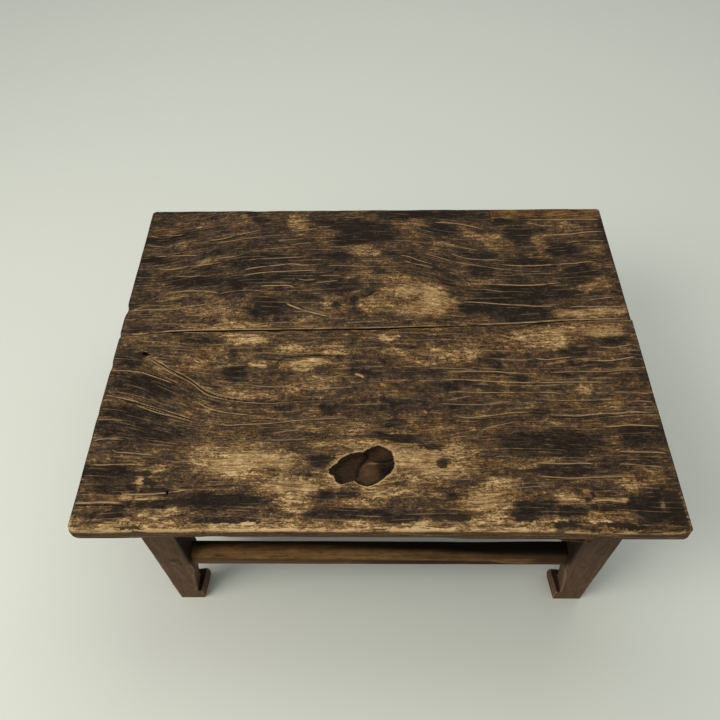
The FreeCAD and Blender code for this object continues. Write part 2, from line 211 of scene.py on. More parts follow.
# Places of worn and dark patches: middle x and y, half length, half width, turn in degrees, strength
GOLD = (
    (-135, 270, 22, 24, 0, .8), (-335, 262, 50, 24, 8, .15), (-245, 275, 40, 17, 5, .35),
    (-312, 222, 36, 11, 5, .25), (-285, 178, 20, 9, 20, .6), (-335, 194, 48, 5, 2, .2),
    (-80, 235, 24, 28, 0, .35), (-22, 201, 32, 12, 0, .85), (-25, 148, 28, 24, 0, .3),
    (-240, 75, 56, 25, 5, .5), (-318, 70, 34, 14, 12, .3), (-72, 78, 28, 20, 0, .55),
    (66, 92, 62, 40, 0, .93), (30, 128, 26, 20, 0, .8), (-8, 75, 20, 20, 0, .95),
    (-110, 44, 20, 6, 0, .9), (-232, 36, 66, 5, 0, .9), (205, 222, 32, 22, -10, .85),
    (283, 215, 13, 27, 0, .7), (318, 262, 28, 20, 0, .55), (372, 198, 16, 12, 0, .45),
    (366, 120, 24, 14, 0, .6), (340, 114, 8, 8, 0, .8), (336, 60, 58, 10, 2, .85),
    (60, 268, 36, 13, 0, .5), (68, 226, 15, 28, 0, .4), (165, 238, 27, 10, -14, .6),
    (112, 217, 22, 6, -12, .55), (256, 9, 46, 23, -6, .8), (335, 28, 50, 14, 0, .62),
    (20, 12, 12, 13, 0, .8), (-203, 10, 32, 10, -3, .95), (-90, -12, 62, 11, -4, .75),
    (-170, -38, 18, 9, 0, .7), (-103, -39, 36, 9, 4, 1.0), (-250, -28, 50, 26, 0, .38),
    (-331, -37, 24, 5, -38, .85), (-190, -92, 50, 9, -4, .5), (-100, -74, 48, 17, 8, .45),
    (-235, -122, 26, 6, -16, .45), (-180, -200, 84, 27, -4, .72), (-196, -214, 56, 19, -5, .5),
    (-118, -238, 44, 14, 0, .75), (-42, -174, 46, 7, 4, .85), (68, -205, 62, 30, 0, .85),
    (112, -185, 32, 11, 0, .6), (24, -248, 52, 9, 0, .7), (150, -262, 38, 25, 8, .85),
    (-105, -262, 26, 20, 0, .7), (-18, -264, 34, 7, 0, .5), (-282, -280, 40, 9, -3, .75),
    (-330, -255, 22, 7, -4, .85), (-319, -236, 5, 12, -32, .9), (245, -258, 22, 4, 0, .8),
    (283, -283, 18, 10, -20, .85), (370, -268, 5, 9, 12, .95), (62, -293, 24, 5, -6, .9),
    (75, -22, 62, 22, 0, .35), (126, -22, 34, 20, 0, .5), (300, -87, 14, 8, 0, .85),
    (335, -112, 11, 10, 0, .5), (250, -140, 9, 7, 0, .6), (168, -232, 32, 8, 5, .6),
    (205, -208, 60, 5, 0, .4), (330, -240, 26, 14, 0, .45), (90, -150, 120, 8, 3, .3),
    (-330, 100, 26, 10, 14, .35), (175, 130, 40, 16, 0, .25), (10, 178, 40, 10, 0, .25),
    (-60, -150, 70, 10, 0, .3), (-300, -215, 20, 8, 0, .4),
)
DARK = (
    (-385, 226, 28, 10, 0, .8), (-336, 236, 26, 13, 14, .8), (-374, 180, 30, 12, 0, .75),
    (-216, 135, 26, 18, 10, 1), (-298, 130, 48, 11, 3, .85), (-176, 76, 28, 23, 0, .95),
    (-48, 262, 52, 16, -4, 1), (-42, 230, 40, 14, 0, 1), (-72, 186, 32, 14, 0, .9),
    (-62, 116, 22, 14, 0, .6), (-64, 78, 7, 7, 0, 1.2), (-35, 92, 9, 8, 0, 1.2), (-28, 64, 10, 9, 0, .6),
    (100, 289, 90, 11, 0, 1), (10, 244, 30, 26, 0, .8), (122, 250, 28, 15, -16, .9),
    (246, 236, 28, 24, 0, .9), (222, 268, 16, 8, 0, 1), (312, 200, 30, 16, 0, .9),
    (252, 173, 42, 8, 0, .85), (175, 150, 22, 14, 0, .6), (205, 82, 60, 34, 0, .6),
    (250, 103, 74, 18, -2, .8), (238, 57, 44, 15, -4, 1), (338, 146, 26, 19, 0, .9),
    (116, 125, 11, 7, -20, 1.1), (146, 72, 15, 10, 0, .9), (-376, 30, 28, 10, 0, .8),
    (-276, 8, 24, 8, 0, .9), (-340, -78, 58, 16, -12, .9), (-212, -54, 26, 12, -8, 1),
    (-216, -22, 10, 14, 0, .8), (-350, -140, 52, 34, 0, .8), (-75, -120, 13, 10, 0, .8),
    (-135, -116, 13, 7, 0, .9), (-74, -201, 19, 7, 0, .8), (-146, -216, 13, 8, 0, .6),
    (-362, -221, 40, 17, 0, .8), (-350, -246, 36, 8, 0, .9), (-205, -262, 56, 11, 0, .95),
    (-200, -288, 60, 5, 0, 1), (-342, -280, 13, 9, 0, 1.1), (-368, -286, 24, 7, 0, .6),
    (-80, -252, 20, 8, 0, .7), (-40, -281, 60, 11, 0, .8), (30, -288, 30, 8, 0, 1.1),
    (86, -284, 28, 9, 0, .8), (28, -166, 30, 7, -8, 1.1), (75, -180, 15, 5, -6, 1.1),
    (88, -207, 9, 8, 0, 1), (92, -255, 11, 6, 0, 1), (30, -143, 22, 6, 0, .9), (122, -78, 30, 7, 0, .8),
    (240, -175, 74, 20, 0, 1), (250, -217, 46, 8, 0, .9), (205, -272, 34, 9, 6, 1.1),
    (257, -276, 20, 6, 0, .9), (250, -297, 30, 5, 0, 1), (300, -294, 28, 4, 0, .8),
    (364, -268, 32, 28, 0, .95), (372, -160, 42, 18, 0, .75), (320, -41, 32, 7, 0, .8),
    (300, -18, 22, 9, 0, .8), (358, 2, 32, 8, 0, .6), (14, -30, 11, 9, 0, .6), (52, -5, 22, 5, 8, .8),
    (180, -35, 12, 14, 0, .8), (215, -65, 13, 6, 0, .8), (200, -82, 12, 6, 0, .8),
    (235, -125, 12, 6, 0, .9), (-370, -30, 26, 16, 0, .7), (-390, 140, 14, 20, 0, .4),
    (-200, 175, 60, 18, 8, .5), (60, 178, 50, 12, -20, .5), (-130, 140, 60, 14, 0, .45),
    (170, 190, 50, 12, -10, .5), (390, 250, 10, 40, 0, .4), (-250, 205, 50, 8, 12, .4),
    (-290, -160, 40, 10, 0, .5), (30, -112, 120, 12, 0, .4), (320, -60, 70, 6, 0, .35),
    (60, -60, 60, 12, 0, .4), (-20, -50, 30, 12, 0, .5), (-380, 275, 20, 10, 0, .4),
    (200, -140, 70, 7, 4, .45), (-215, 288, 22, 12, -40, .7), (392, -60, 10, 60, 0, .3),
    (340, -205, 60, 10, 0, .3), (-30, 130, 12, 14, 0, .4),
)

# Small flakes with crisp edges: bare wood, and lacquer that stayed; middle, half length, half width, turn
BARE = (
    (-319, -232, 4, 7, -25), (-317, -249, 2, 7, 0), (-334, -258, 8, 4, 0), (-314, -257, 5, 4, 0),
    (-296, -258, 8, 2.5, 0), (-347, -296, 8, 5, -10), (-364, -265, 30, 1.6, 0),
    (-259, -246, 14, 1.6, -10), (289, -262, 11, 4, 4), (313, -262, 10, 4, -3), (289, -270, 3, 4, 0),
    (275, -249, 7, 4, -20), (341, -244, 2, 17, 3), (369, -265, 4, 5, 0), (310, -277.5, 15, 1.4, 0),
    (247, -260, 10, 4, 5), (-25, -60, 8, 2.2, -22), (-96, 66, 24, 2.4, -24), (338, 62, 60, 6, 3),
    (270, 20, 16, 5, -3), (-240, 50, 5, 4, 0), (66, 112, 30, 10, 0), (96, 92, 20, 14, 0),
    (84, 70, 28, 12, -4), (-108, 36, 16, 4, -4), (-205, 12, 26, 7, -5), (-110, -37, 30, 5, 4),
    (56, -200, 30, 12, 4), (80, -215, 24, 9, -8), (-160, -202, 44, 11, -4), (-198, -208, 26, 9, 3),
    (140, -262, 22, 10, 10), (66, -294, 14, 3, -4), (334, 236, 46, 4, 2), (-118, -240, 26, 7, 0),
    (22, -179, 26, 3, 5), (196, 4, 14, 3, -22), (352, 20, 30, 7, 0), (300, -86, 10, 4, 0),
    (8, 70, 5, 3, -20),
)
KEPT = (
    (-311, -222, 6, 6, 40), (-305, -235, 9, 5, -20), (-325, -248, 3.4, 6, 0), (-290, -247, 14, 3.6, 0),
    (-327, -267, 4, 4, 0), (-314, -267, 2, 4, 0), (-297, -267, 9, 4, 0), (-280, -266, 5, 4, 0),
    (-345, -280, 11, 8, 25), (-318, -299, 15, 3, -8), (302, -271, 22, 3.6, 0), (275, -259, 4, 3, 20),
    (282, -252, 3, 4, 0), (254, -278, 17, 4, 0), (246, -293, 21, 4, 3), (314, -295, 26, 4, -4),
    (190, -283, 15, 7, 0), (-62, 78, 6, 6, 0), (-34, 92, 7, 6, 0), (-72, -200, 14, 5, 8),
    (88, -207, 7, 6, 0), (74, -181, 14, 4, -6), (26, -166, 24, 5, -8), (-44, -253, 20, 4, 0),
    (-262, -264, 30, 5, 0), (-180, -262, 30, 6, 0), (236, 44, 36, 9, -4), (224, 268, 12, 5, 0),
    (246, 240, 18, 15, 8), (-212, 132, 16, 12, 20), (-176, 76, 20, 14, 0), (-45, 258, 34, 10, -4),
    (130, 292, 50, 6, 0), (30, 294, 26, 5, 0), (312, 200, 22, 10, 0), (-212, -54, 16, 7, -8),
    (116, 125, 8, 4, -20), (352, -270, 14, 20, 0), (384, -268, 12, 22, 0), (100, -284, 16, 5, 0),
    (28, -288, 20, 4, 0), (-200, -290, 40, 3, 0), (-378, 226, 18, 7, 0), (-372, 182, 20, 8, 0),
    (-330, 134, 40, 6, 3),
)

# Ridges worn light, along the grain: width in mm, brightness, then points
RIDGES = (
    (1.9, .9, (-344, 23.6), (-295, 27.2), (-200, 28.2), (-119, 29.0), (-60, 30)),
    (1.3, .6, (-66, 30.2), (6, 31), (95, 35)),
    (1.8, .7, (150, 37), (208, 39), (250, 42), (284, 45), (340, 47), (396, 48)),
    (1.8, .9, (262, 274.6), (340, 275), (395, 275.4)), (1.3, .7, (-396, 215), (-375, 213), (-350, 211)),
    (1.2, .8, (-393, 239), (-379, 236)), (1.2, .7, (-375, 241), (-350, 240), (-335, 243)),
    (1.3, .8, (-378, 188), (-350, 190), (-323, 191), (-301, 191)),
    (1.4, .9, (-372, 161), (-350, 158), (-332, 160), (-314, 165), (-300, 167), (-274, 172), (-259, 176)),
    (1.4, .8, (-300, 170), (-283, 178), (-262, 185), (-241, 188), (-222, 196)),
    (1.3, .9, (-291, 227), (-274, 229), (-262, 232), (-244, 240), (-222, 246), (-198, 254)),
    (1.2, .7, (-277, 222), (-253, 225), (-228, 231), (-210, 234), (-192, 237)),
    (1.2, .7, (-350, 139), (-335, 143), (-314, 142), (-295, 143), (-274, 143)),
    (1.6, .8, (-344, 105), (-326, 108), (-305, 110), (-283, 110), (-271, 108), (-253, 105)),
    (1.3, .7, (-350, 86), (-332, 92), (-314, 98), (-300, 99)),
    (1.3, .8, (-396, 66), (-375, 69), (-344, 69), (-326, 70), (-305, 75), (-283, 79), (-268, 81)),
    (1.2, .6, (-393, 66), (-381, 73), (-366, 78), (-344, 79)),
    (1.5, .95, (-225, 154), (-210, 160), (-192, 163), (-173, 166), (-152, 169), (-140, 170),
     (-119, 167), (-82, 170)),
    (1.4, .9, (-225, 142), (-207, 147), (-192, 150), (-173, 152), (-131, 154), (-112, 155), (-97, 154)),
    (1.3, .75, (-222, 178), (-198, 182), (-173, 183), (-149, 185), (-131, 186), (-112, 188)),
    (1.2, .65, (-195, 205), (-173, 207), (-155, 209), (-140, 210)),
    (1.2, .65, (-170, 226), (-149, 228), (-122, 231)), (1.2, .6, (-143, 216), (-128, 219), (-110, 220)),
    (1.2, .7, (-82, 211), (-64, 210), (-45, 211)),
    (1.3, .8, (-150, 251), (-134, 250), (-115, 254), (-100, 256)),
    (1.6, 1, (-192, 120), (-149, 121), (-134, 118)), (1.2, .8, (-129, 135), (-115, 133), (-100, 134)),
    (1.2, .7, (-100, 127), (-82, 129), (-61, 132)),
    (1.2, .6, (-82, 166), (-61, 166), (-21, 163), (15, 162), (40, 163)),
    (1.2, .6, (-94, 143), (-76, 143), (-57, 143)),
    (2.0, 1, (-146, 83), (-134, 76), (-119, 69), (-103, 63), (-88, 58), (-76, 54)),
    (1.1, .6, (-148, 108), (-131, 110), (-113, 108), (-100, 110)),
    (1.1, .5, (-24, 145), (0, 144), (20, 146)),
    (1.5, .9, (101, 270), (121, 269), (143, 266), (162, 261), (178, 255), (193, 251)),
    (1.2, .8, (90, 203), (109, 203)),
    (1.3, .8, (124, 194), (140, 186), (153, 181), (171, 178), (190, 177), (209, 179)),
    (1.2, .7, (101, 220), (115, 217), (128, 211), (140, 208), (156, 204), (178, 200)),
    (1.3, .9, (40, 189), (56, 186), (68, 179), (84, 172), (96, 168)),
    (1.2, .8, (46, 177), (62, 170), (81, 164), (96, 158)),
    (1.2, .7, (81, 194), (96, 188), (115, 180), (128, 174)),
    (1.2, .7, (128, 175), (146, 169), (165, 165), (187, 160), (206, 156), (228, 155)),
    (1.4, .9, (190, 170), (215, 165), (240, 163), (262, 163), (287, 165), (312, 167), (331, 168),
     (349, 171), (371, 171)), (1.1, .6, (255, 182), (281, 185)),
    (1.5, .95, (151, 123), (178, 122), (203, 121), (246, 119), (271, 121), (303, 125)),
    (1.4, .9, (134, 83), (153, 83), (178, 81), (203, 78), (228, 76), (253, 74), (271, 74), (290, 76)),
    (1.1, .6, (175, 111), (190, 108), (209, 105)),
    (1.6, 1, (299, 236), (321, 237), (343, 239), (365, 243), (396, 244)),
    (2.2, 1, (349, 275), (371, 275), (393, 275)), (1.4, .8, (262, 267), (281, 263), (296, 258)),
    (1.2, .7, (321, 217), (343, 220), (365, 222), (396, 220)), (1.2, .7, (334, 85), (359, 90), (384, 93)),
    (1.5, .8, (303, 72), (334, 73), (365, 73), (393, 72)), (1.1, .5, (221, 143), (256, 145), (290, 146)),
    (1.4, .85, (-400, -50), (-387, -50), (-369, -51), (-350, -54), (-332, -61), (-314, -68), (-300, -74)),
    (1.3, .8, (-353, -24), (-341, -31), (-326, -41), (-311, -52), (-300, -58), (-286, -66), (-271, -75),
     (-247, -94), (-216, -103), (-192, -107), (-152, -109), (-113, -105), (-60, -104)),
    (1.2, .7, (-341, -26), (-326, -35), (-309, -47), (-284, -60), (-257, -80), (-245, -88), (-216, -98),
     (-173, -104)),
    (1.3, .85, (-400, -93), (-375, -99), (-350, -105), (-332, -112), (-295, -124), (-260, -136)),
    (1.2, .8, (-350, -111), (-332, -118), (-314, -125), (-283, -133), (-258, -141)),
    (1.2, .8, (-259, -107), (-247, -115), (-231, -121), (-216, -125), (-198, -127), (-180, -129)),
    (1.2, .75, (-247, -141), (-228, -143), (-210, -146), (-195, -145), (-152, -143), (-113, -138),
     (-70, -135), (-39, -133)), (1.1, .6, (-399, -137), (-381, -136), (-360, -138)),
    (1.3, .8, (-396, -171), (-381, -168), (-350, -169)),
    (1.3, .8, (-366, -184), (-360, -189), (-344, -190), (-326, -192), (-305, -194)),
    (1.3, .85, (-393, -208), (-375, -209), (-350, -208), (-332, -208), (-314, -210)),
    (1.1, .6, (-222, -76), (-192, -77), (-161, -80), (-143, -80), (-113, -75), (-88, -70), (-55, -60),
     (-39, -57)), (3.0, 1, (-32, -57), (-25, -60), (-18, -64)),
    (1.6, .95, (-400, -265), (-381, -265), (-360, -264), (-332, -266)),
    (1.1, .6, (-149, -170), (-131, -170), (-94, -168)),
    (1.1, .6, (-146, -160), (-131, -156), (-106, -153)),
    (1.4, .9, (187, 17), (209, 9), (228, 3), (249, -4)),
    (1.4, .9, (299, -30), (318, -33), (340, -34), (362, -32), (393, -25)),
    (1.2, .7, (334, -7), (353, -9), (371, -7), (390, -2)),
    (1.4, .9, (237, -29), (253, -32), (271, -30), (299, -26)),
    (1.1, .6, (75, -47), (100, -47), (125, -48), (146, -50)),
    (1.3, .85, (100, -54), (125, -54), (150, -53), (178, -54), (196, -56), (212, -56)),
    (1.3, .85, (81, -66), (125, -68), (150, -70), (193, -73), (237, -74), (281, -73), (306, -73),
     (353, -73)), (1.2, .75, (106, -89), (150, -91), (203, -91), (250, -91), (271, -94)),
    (1.1, .6, (84, -110), (150, -112), (193, -108)),
    (1.3, .8, (115, -133), (131, -134), (150, -132), (171, -129), (190, -126), (224, -124)),
    (1.4, .9, (240, -129), (281, -131), (303, -129), (321, -127), (343, -127), (362, -124), (396, -127)),
    (1.4, .9, (315, -149), (334, -148), (353, -146), (374, -147), (396, -148)),
    (1.2, .7, (150, -152), (165, -148), (181, -144), (196, -141)),
    (1.1, .6, (100, -168), (115, -165), (137, -162)),
    (1.3, .9, (328, -188), (349, -189), (371, -189), (396, -191)),
    (1.3, .9, (209, -205), (253, -207), (275, -206), (293, -207)),
    (1.2, .8, (209, -225), (250, -228), (271, -228), (290, -227), (340, -226)),
    (1.2, .8, (324, -207), (343, -208), (365, -210), (384, -213)),
    (1.2, .7, (256, -105), (300, -105), (340, -103)), (1.1, .7, (343, -91), (365, -91), (396, -94)),
    (1.1, .7, (359, -107), (378, -106), (396, -108)),
    (1.2, .7, (253, -56), (290, -54), (334, -54), (365, -51), (393, -51)),
    (1.3, .9, (-340, -253), (-300, -252), (-270, -249), (-252, -245)),
    (1.4, .9, (278, -262), (300, -260), (326, -264)),
)

# Open cracks: half width in mm, depth in mm, then points
CRACKS = (
    (.7, .6, (203, 278), (300, 278), (397, 278)), (.6, .6, (202.8, 278), (202.8, 302)),
    (.9, 1.4, (-343, -27), (-326, -38), (-310, -48), (-286, -62), (-271, -72), (-251, -88), (-228, -98),
     (-192, -105), (-150, -107), (-111, -104), (-53, -101)),
    (.9, 1.5, (-372, -101), (-350, -108), (-312, -119), (-283, -130), (-258, -139)),
    (.6, .9, (-399, -47), (-352, -52), (-320, -64), (-291, -75)),
    (.7, .9, (-149, -42), (-148, -34), (-141, -28), (-120, -25), (-82, -22), (-50, -24)),
    (.6, .8, (-200, 152), (-160, 156), (-100, 157)), (.6, .8, (180, 118), (240, 116), (300, 121)),
    (.6, .8, (190, 167), (262, 160), (330, 165)), (.6, .8, (150, -56), (212, -59)),
    (.6, .8, (300, -37), (362, -35)), (.8, 1.2, (-25, 101), (-14, 98), (-5, 106), (4, 110)),
    (.7, 1.0, (-399, -268), (-345, -268), (-330, -270)), (.7, 1.0, (277, -266), (300, -265), (327, -268)),
    (.6, .8, (-329, -262), (-275, -261)), (.6, .7, (-329, -271), (-276, -271)),
    (.7, 1.0, (262, 280), (300, 281), (350, 281)), (.6, .8, (-290, 224), (-262, 229), (-222, 243)),
    (.6, .7, (240, -132), (281, -134), (343, -130)), (.6, .7, (315, -152), (374, -150)),
    (.6, .7, (-300, 164), (-274, 169), (-259, 173)), (.8, 1.1, (276, 247), (281, 243)),
    (.6, .8, (60, -296), (90, -299)),
)


def bend(points):
    """Closer points on a smooth line through the given ones."""
    p = np.array(points, float)
    if len(p) < 3:
        return p
    ends = np.vstack([2 * p[0] - p[1], p, 2 * p[-1] - p[-2]])
    out = []
    for a, b, c, d in zip(ends, ends[1:], ends[2:], ends[3:]):
        for t in (0, 0.25, 0.5, 0.75):
            square, cube = 2 * a - 5 * b + 4 * c - d, 3 * b - a - 3 * c + d
            out.append(0.5 * (2 * b + (c - a) * t + square * t * t + cube * t ** 3))
    return np.array(out + [p[-1]])


# Distances to a line are worked out up to FAR, and it shows up to LINE_REACH from its middle, in mm
FAR = 14.0
LINE_REACH = 3.6


def line_distance(x, y, points):
    """Which places are near a line, their signed distance to it, and how far along it they lie."""
    p = bend(points)
    low, high = p.min(0) - FAR, p.max(0) + FAR
    inside = np.nonzero((x > low[0]) & (x < high[0]) & (y > low[1]) & (y < high[1]))[0]
    px, py = x[inside], y[inside]
    best = np.full(len(px), FAR)
    along = np.zeros(len(px))
    for n, (a, b) in enumerate(zip(p, p[1:])):
        d = b - a
        t = np.clip(((px - a[0]) * d[0] + (py - a[1]) * d[1]) / (d @ d), 0, 1)
        ex, ey = px - a[0] - t * d[0], py - a[1] - t * d[1]
        dist = np.hypot(ex, ey)
        nearer = dist < np.abs(best)
        best = np.where(nearer, np.where(d[0] * ey - d[1] * ex < 0, -dist, dist), best)
        along = np.where(nearer, (n + t) / (len(p) - 1), along)
    return inside, best, along


def in_ellipse(x, y, cx, cy, rx, ry, turn):
    """Places as shares of the half axes of a turned ellipse."""
    c, s = math.cos(math.radians(turn)), math.sin(math.radians(turn))
    return ((x - cx) * c + (y - cy) * s) / rx, ((y - cy) * c - (x - cx) * s) / ry


def blots(x, y, table):
    """Sum of the soft ellipses of a table at each place."""
    total = np.zeros_like(x)
    for *shape, strength in table:
        u, v = in_ellipse(x, y, *shape)
        total += strength * smooth((1.3 - np.sqrt(u * u + v * v)) / 0.75)
    return total


def flake_distance(x, y, table):
    """Roughly how far a place lies outside the nearest flake of a table, in mm; negative inside."""
    best = np.full_like(x, 9.0)
    for cx, cy, rx, ry, turn in table:
        u, v = in_ellipse(x, y, cx, cy, rx, ry, turn)
        best = np.minimum(best, ((u ** 4 + v ** 4) ** 0.25 - 1) * min(rx, ry))
    return best


# The large knot hollow near the front edge, clockwise from its left tip
KNOT_MIDDLE = (-18.0, -210.0)
KNOT_OUTLINE = (
    (-65, -217), (-60, -211), (-54, -206), (-45, -196), (-33, -191), (-19, -189), (-8, -182), (2, -179),
    (9, -182), (18, -187), (21, -195), (23, -207), (21, -215), (13, -224), (5, -231), (-3, -236),
    (-14, -240), (-23, -237), (-31, -231), (-38, -234), (-46, -237), (-53, -235), (-55, -230),
    (-57, -224), (-62, -222),
)


def knot_reach(angle):
    """Distance from the knot's middle to its rim in a direction."""
    mx, my = KNOT_MIDDLE
    angles = np.array([math.atan2(py - my, px - mx) for px, py in KNOT_OUTLINE])
    reaches = np.array([math.hypot(px - mx, py - my) for px, py in KNOT_OUTLINE])
    order = np.argsort(angles)
    return np.interp(angle, angles[order], reaches[order], period=2 * math.pi)


def knot_share(x, y):
    """0 at the middle of the knot, 1 on its rim."""
    mx, my = KNOT_MIDDLE
    return np.hypot(x - mx, y - my) / knot_reach(np.arctan2(y - my, x - mx))


KNOT_CREASE = ((-12, -190), (-19, -199), (-26, -211), (-27, -222))
KNOT_RIDGE = ((-26, -226), (-22, -212), (-14, -204.5), (-2, -203))
KNOT_STEP = ((-1, -204), (9, -202.6), (21, -203))
KNOT_CREVICE = ((-2, -200), (8, -198.8), (19, -199.6))


def knot_lobe(x, y):
    """The harder wood left standing in the hollow, from 0 to 1."""
    return np.exp(-(((x + 9) / 15) ** 2 + ((y + 219) / 16) ** 2) ** 1.6)


def near_line(x, y, points, width):
    """1 on a line, falling off to its sides."""
    inside, d, _ = line_distance(x, y, points)
    out = np.zeros_like(x)
    out[inside] = np.exp(-(d / width) ** 2)
    return out


def knot_shade(x, y):
    """How light the wood inside the hollow is, from 0 to 1: a dark tone, with painted light on the raised
    lobe, ridge and step and painted shade in the crease, the crevice, the deepest place and near the rim.
    """
    shade = 0.36 + 0.26 * knot_lobe(x, y) + 0.40 * near_line(x, y, KNOT_RIDGE, 2.4) * rise(x, -27, -8)
    shade = shade + 0.16 * near_line(x, y, KNOT_STEP, 1.6) + 0.10 * rise(y, -197, -188) * rise(x, 0, 8)
    shade = shade - 0.34 * near_line(x, y, KNOT_CREASE, 1.9) - 0.34 * near_line(x, y, KNOT_CREVICE, 1.5)
    shade = shade - 0.34 * np.exp(-((x - 12) / 9) ** 2 - ((y + 213) / 11) ** 2)
    shade = shade - 0.16 * rise(knot_share(x, y), 0.86, 0.98)
    return shade + 0.05 * noise(x, y, 7, 3, 57)


def knot_floor(x, y):
    """Depth of the hollow below the top at a place inside it."""
    share = knot_share(x, y)
    depth = 9.0 * rise(share, 1.0, 0.78) + 0.9 * noise(x, y, 13, 9, 51)
    depth = depth + 2.2 * near_line(x, y, KNOT_CREASE, 2.6) + 2.0 * near_line(x, y, KNOT_CREVICE, 2.0)
    depth = depth + 2.2 * np.exp(-((x - 12) / 9) ** 2 - ((y + 213) / 11) ** 2)
    depth = depth - 5.0 * knot_lobe(x, y) - 2.2 * near_line(x, y, KNOT_STEP, 2.2)
    depth = depth - 1.4 * near_line(x, y, KNOT_RIDGE, 2.6)
    return np.clip(depth + 0.4 * noise(x, y, 5.0, 1.6, 52), 1.2, 12)


# Meshes

def mesh_object(name, verts, faces, replaced):
    """A piece from points in millimetres that rides on the one body."""
    mesh = bpy.data.meshes.new(name)
    mesh.from_pydata((np.asarray(verts, float) * MM).tolist(), [], faces)
    mesh.validate()
    shade_smooth(mesh)
    piece = bpy.data.objects.new(name, mesh)
    bpy.context.scene.collection.objects.link(piece)
    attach(piece, "root")
    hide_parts(*replaced)
    return piece


def shade_smooth(mesh):
    mesh.polygons.foreach_set("use_smooth", np.ones(len(mesh.polygons), bool))


def coords(mesh):
    co = np.empty(len(mesh.vertices) * 3)
    mesh.vertices.foreach_get("co", co)
    return co.reshape(-1, 3) / MM


def set_coords(mesh, co):
    mesh.vertices.foreach_set("co", (co * MM).ravel())
    mesh.update()


def put_vector(mesh, name, *values):
    """Stores three values, each one number or one per point, at the points of a mesh."""
    layer = mesh.attributes.new(name, "FLOAT_VECTOR", "POINT")
    columns = [np.broadcast_to(v, len(mesh.vertices)) for v in values]
    layer.data.foreach_set("vector", np.stack(columns, -1).astype(np.float32).ravel())


def subtract(piece, cutters):
    """Cuts closed meshes, each given as points in millimetres and faces, out of a piece."""
    for points, polygons in cutters:
        mesh = bpy.data.meshes.new("cutter")
        mesh.from_pydata((np.asarray(points, float) * MM).tolist(), [], polygons)
        cutter = bpy.data.objects.new("cutter", mesh)
        bpy.context.scene.collection.objects.link(cutter)
        modifier = piece.modifiers.new("cut", "BOOLEAN")
        modifier.operation, modifier.solver, modifier.object = "DIFFERENCE", "MANIFOLD", cutter
        graph = bpy.context.evaluated_depsgraph_get()
        result = bpy.data.meshes.new_from_object(piece.evaluated_get(graph))
        piece.modifiers.remove(modifier)
        old = piece.data
        piece.data = result
        bpy.data.meshes.remove(old)
        bpy.data.objects.remove(cutter)
        bpy.data.meshes.remove(mesh)
    shade_smooth(piece.data)


def block(low, high):
    """A box as a cutter."""
    corners = [(x, y, z) for x in (low[0], high[0]) for y in (low[1], high[1]) for z in (low[2], high[2])]
    return corners, [(0, 1, 3, 2), (4, 6, 7, 5), (0, 4, 5, 1), (2, 3, 7, 6), (0, 2, 6, 4), (1, 5, 7, 3)]


def turned(faces):
    """The same faces, seen from the other side."""
    return [tuple(reversed(f)) for f in faces]


def stack_faces(rings, count):
    """Faces between rings of points, one above the other, with caps."""
    faces = []
    for low in range(0, (rings - 1) * count, count):
        for i in range(count):
            j = (i + 1) % count
            faces.append((low + i, low + j, low + count + j, low + count + i))
    faces.append(tuple(range(count - 1, -1, -1)))
    faces.append(tuple((rings - 1) * count + i for i in range(count)))
    return faces


def grid_faces(nx, ny):
    """Faces of a grid of points, and the loop of points round its outside."""
    index = np.arange(nx * ny).reshape(nx, ny)
    quads = np.stack([index[:-1, :-1], index[1:, :-1], index[1:, 1:], index[:-1, 1:]], -1)
    loop = np.concatenate([index[:-1, 0], index[-1, :-1], index[:0:-1, -1], index[0, :0:-1]])
    return quads.reshape(-1, 4).tolist(), loop


def band_faces(upper, lower):
    """Faces between two loops of points, the second below the first."""
    return np.stack([np.roll(upper, -1), upper, lower, np.roll(lower, -1)], -1).tolist()


# Rings of the knot's cutter, from above the rim to the middle, as shares of the way out
KNOT_RINGS = (1.05, 1.0, 0.975, 0.94, 0.9, 0.85, 0.8, 0.74, 0.68, 0.61, 0.54, 0.46, 0.38, 0.3, 0.22,
              0.14, 0.06)


def knot_cutter():
    """The large knot hollow as a cutter."""
    angles = np.linspace(-math.pi, math.pi, 168, endpoint=False)
    mx, my = KNOT_MIDDLE
    reach = knot_reach(angles)
    reach = (np.roll(reach, 1) + 2 * reach + np.roll(reach, -1)) / 4
    reach = reach + 0.5 * noise(angles * 9, angles, 1, 9, 53)
    points = []
    for n, share in enumerate(KNOT_RINGS):
        x, y = mx + share * reach * np.cos(angles), my + share * reach * np.sin(angles)
        if n == 0:
            z = np.full(len(x), TOP + 4)
        elif n == 1:
            z = np.full(len(x), TOP - 1.0)
        elif share < 0.9:
            z = TOP - knot_floor(x, y)
        else:
            z = TOP - np.maximum(knot_floor(x, y), 1.5 + 18 * (1 - share))
        points += list(zip(x, y, z))
    return points, turned(stack_faces(len(KNOT_RINGS), len(angles)))


def small_hole(x, y, rx, ry, depth, turn=0.0):
    """A rough round hole as a cutter."""
    points = []
    count = 20
    c, s = math.cos(turn), math.sin(turn)
    levels = ((TOP + 3, 1.15), (TOP - 0.8, 1.0), (TOP - depth * 0.6, 0.82), (TOP - depth, 0.45))
    for level, share in levels:
        for i in range(count):
            a = 2 * math.pi * i / count
            r = share * (1 + 0.16 * math.sin(3 * a + x) + 0.1 * math.sin(5 * a + y))
            u, v = r * rx * math.cos(a), r * ry * math.sin(a)
            points.append((x + u * c - v * s, y + u * s + v * c, level))
    return points, turned(stack_faces(len(levels), count))


def spaced(start, end, step, fine=()):
    """Grid lines between two places, closer in the fine stretch (low, high, step)."""
    if not fine:
        return np.linspace(start, end, max(2, round((end - start) / step)) + 1)
    low, high, small = fine
    parts = [np.linspace(start, low, max(1, round((low - start) / step)), endpoint=False),
             np.linspace(low, high, round((high - low) / small), endpoint=False),
             np.linspace(high, end, max(1, round((end - high) / step)) + 1)]
    return np.concatenate(parts)


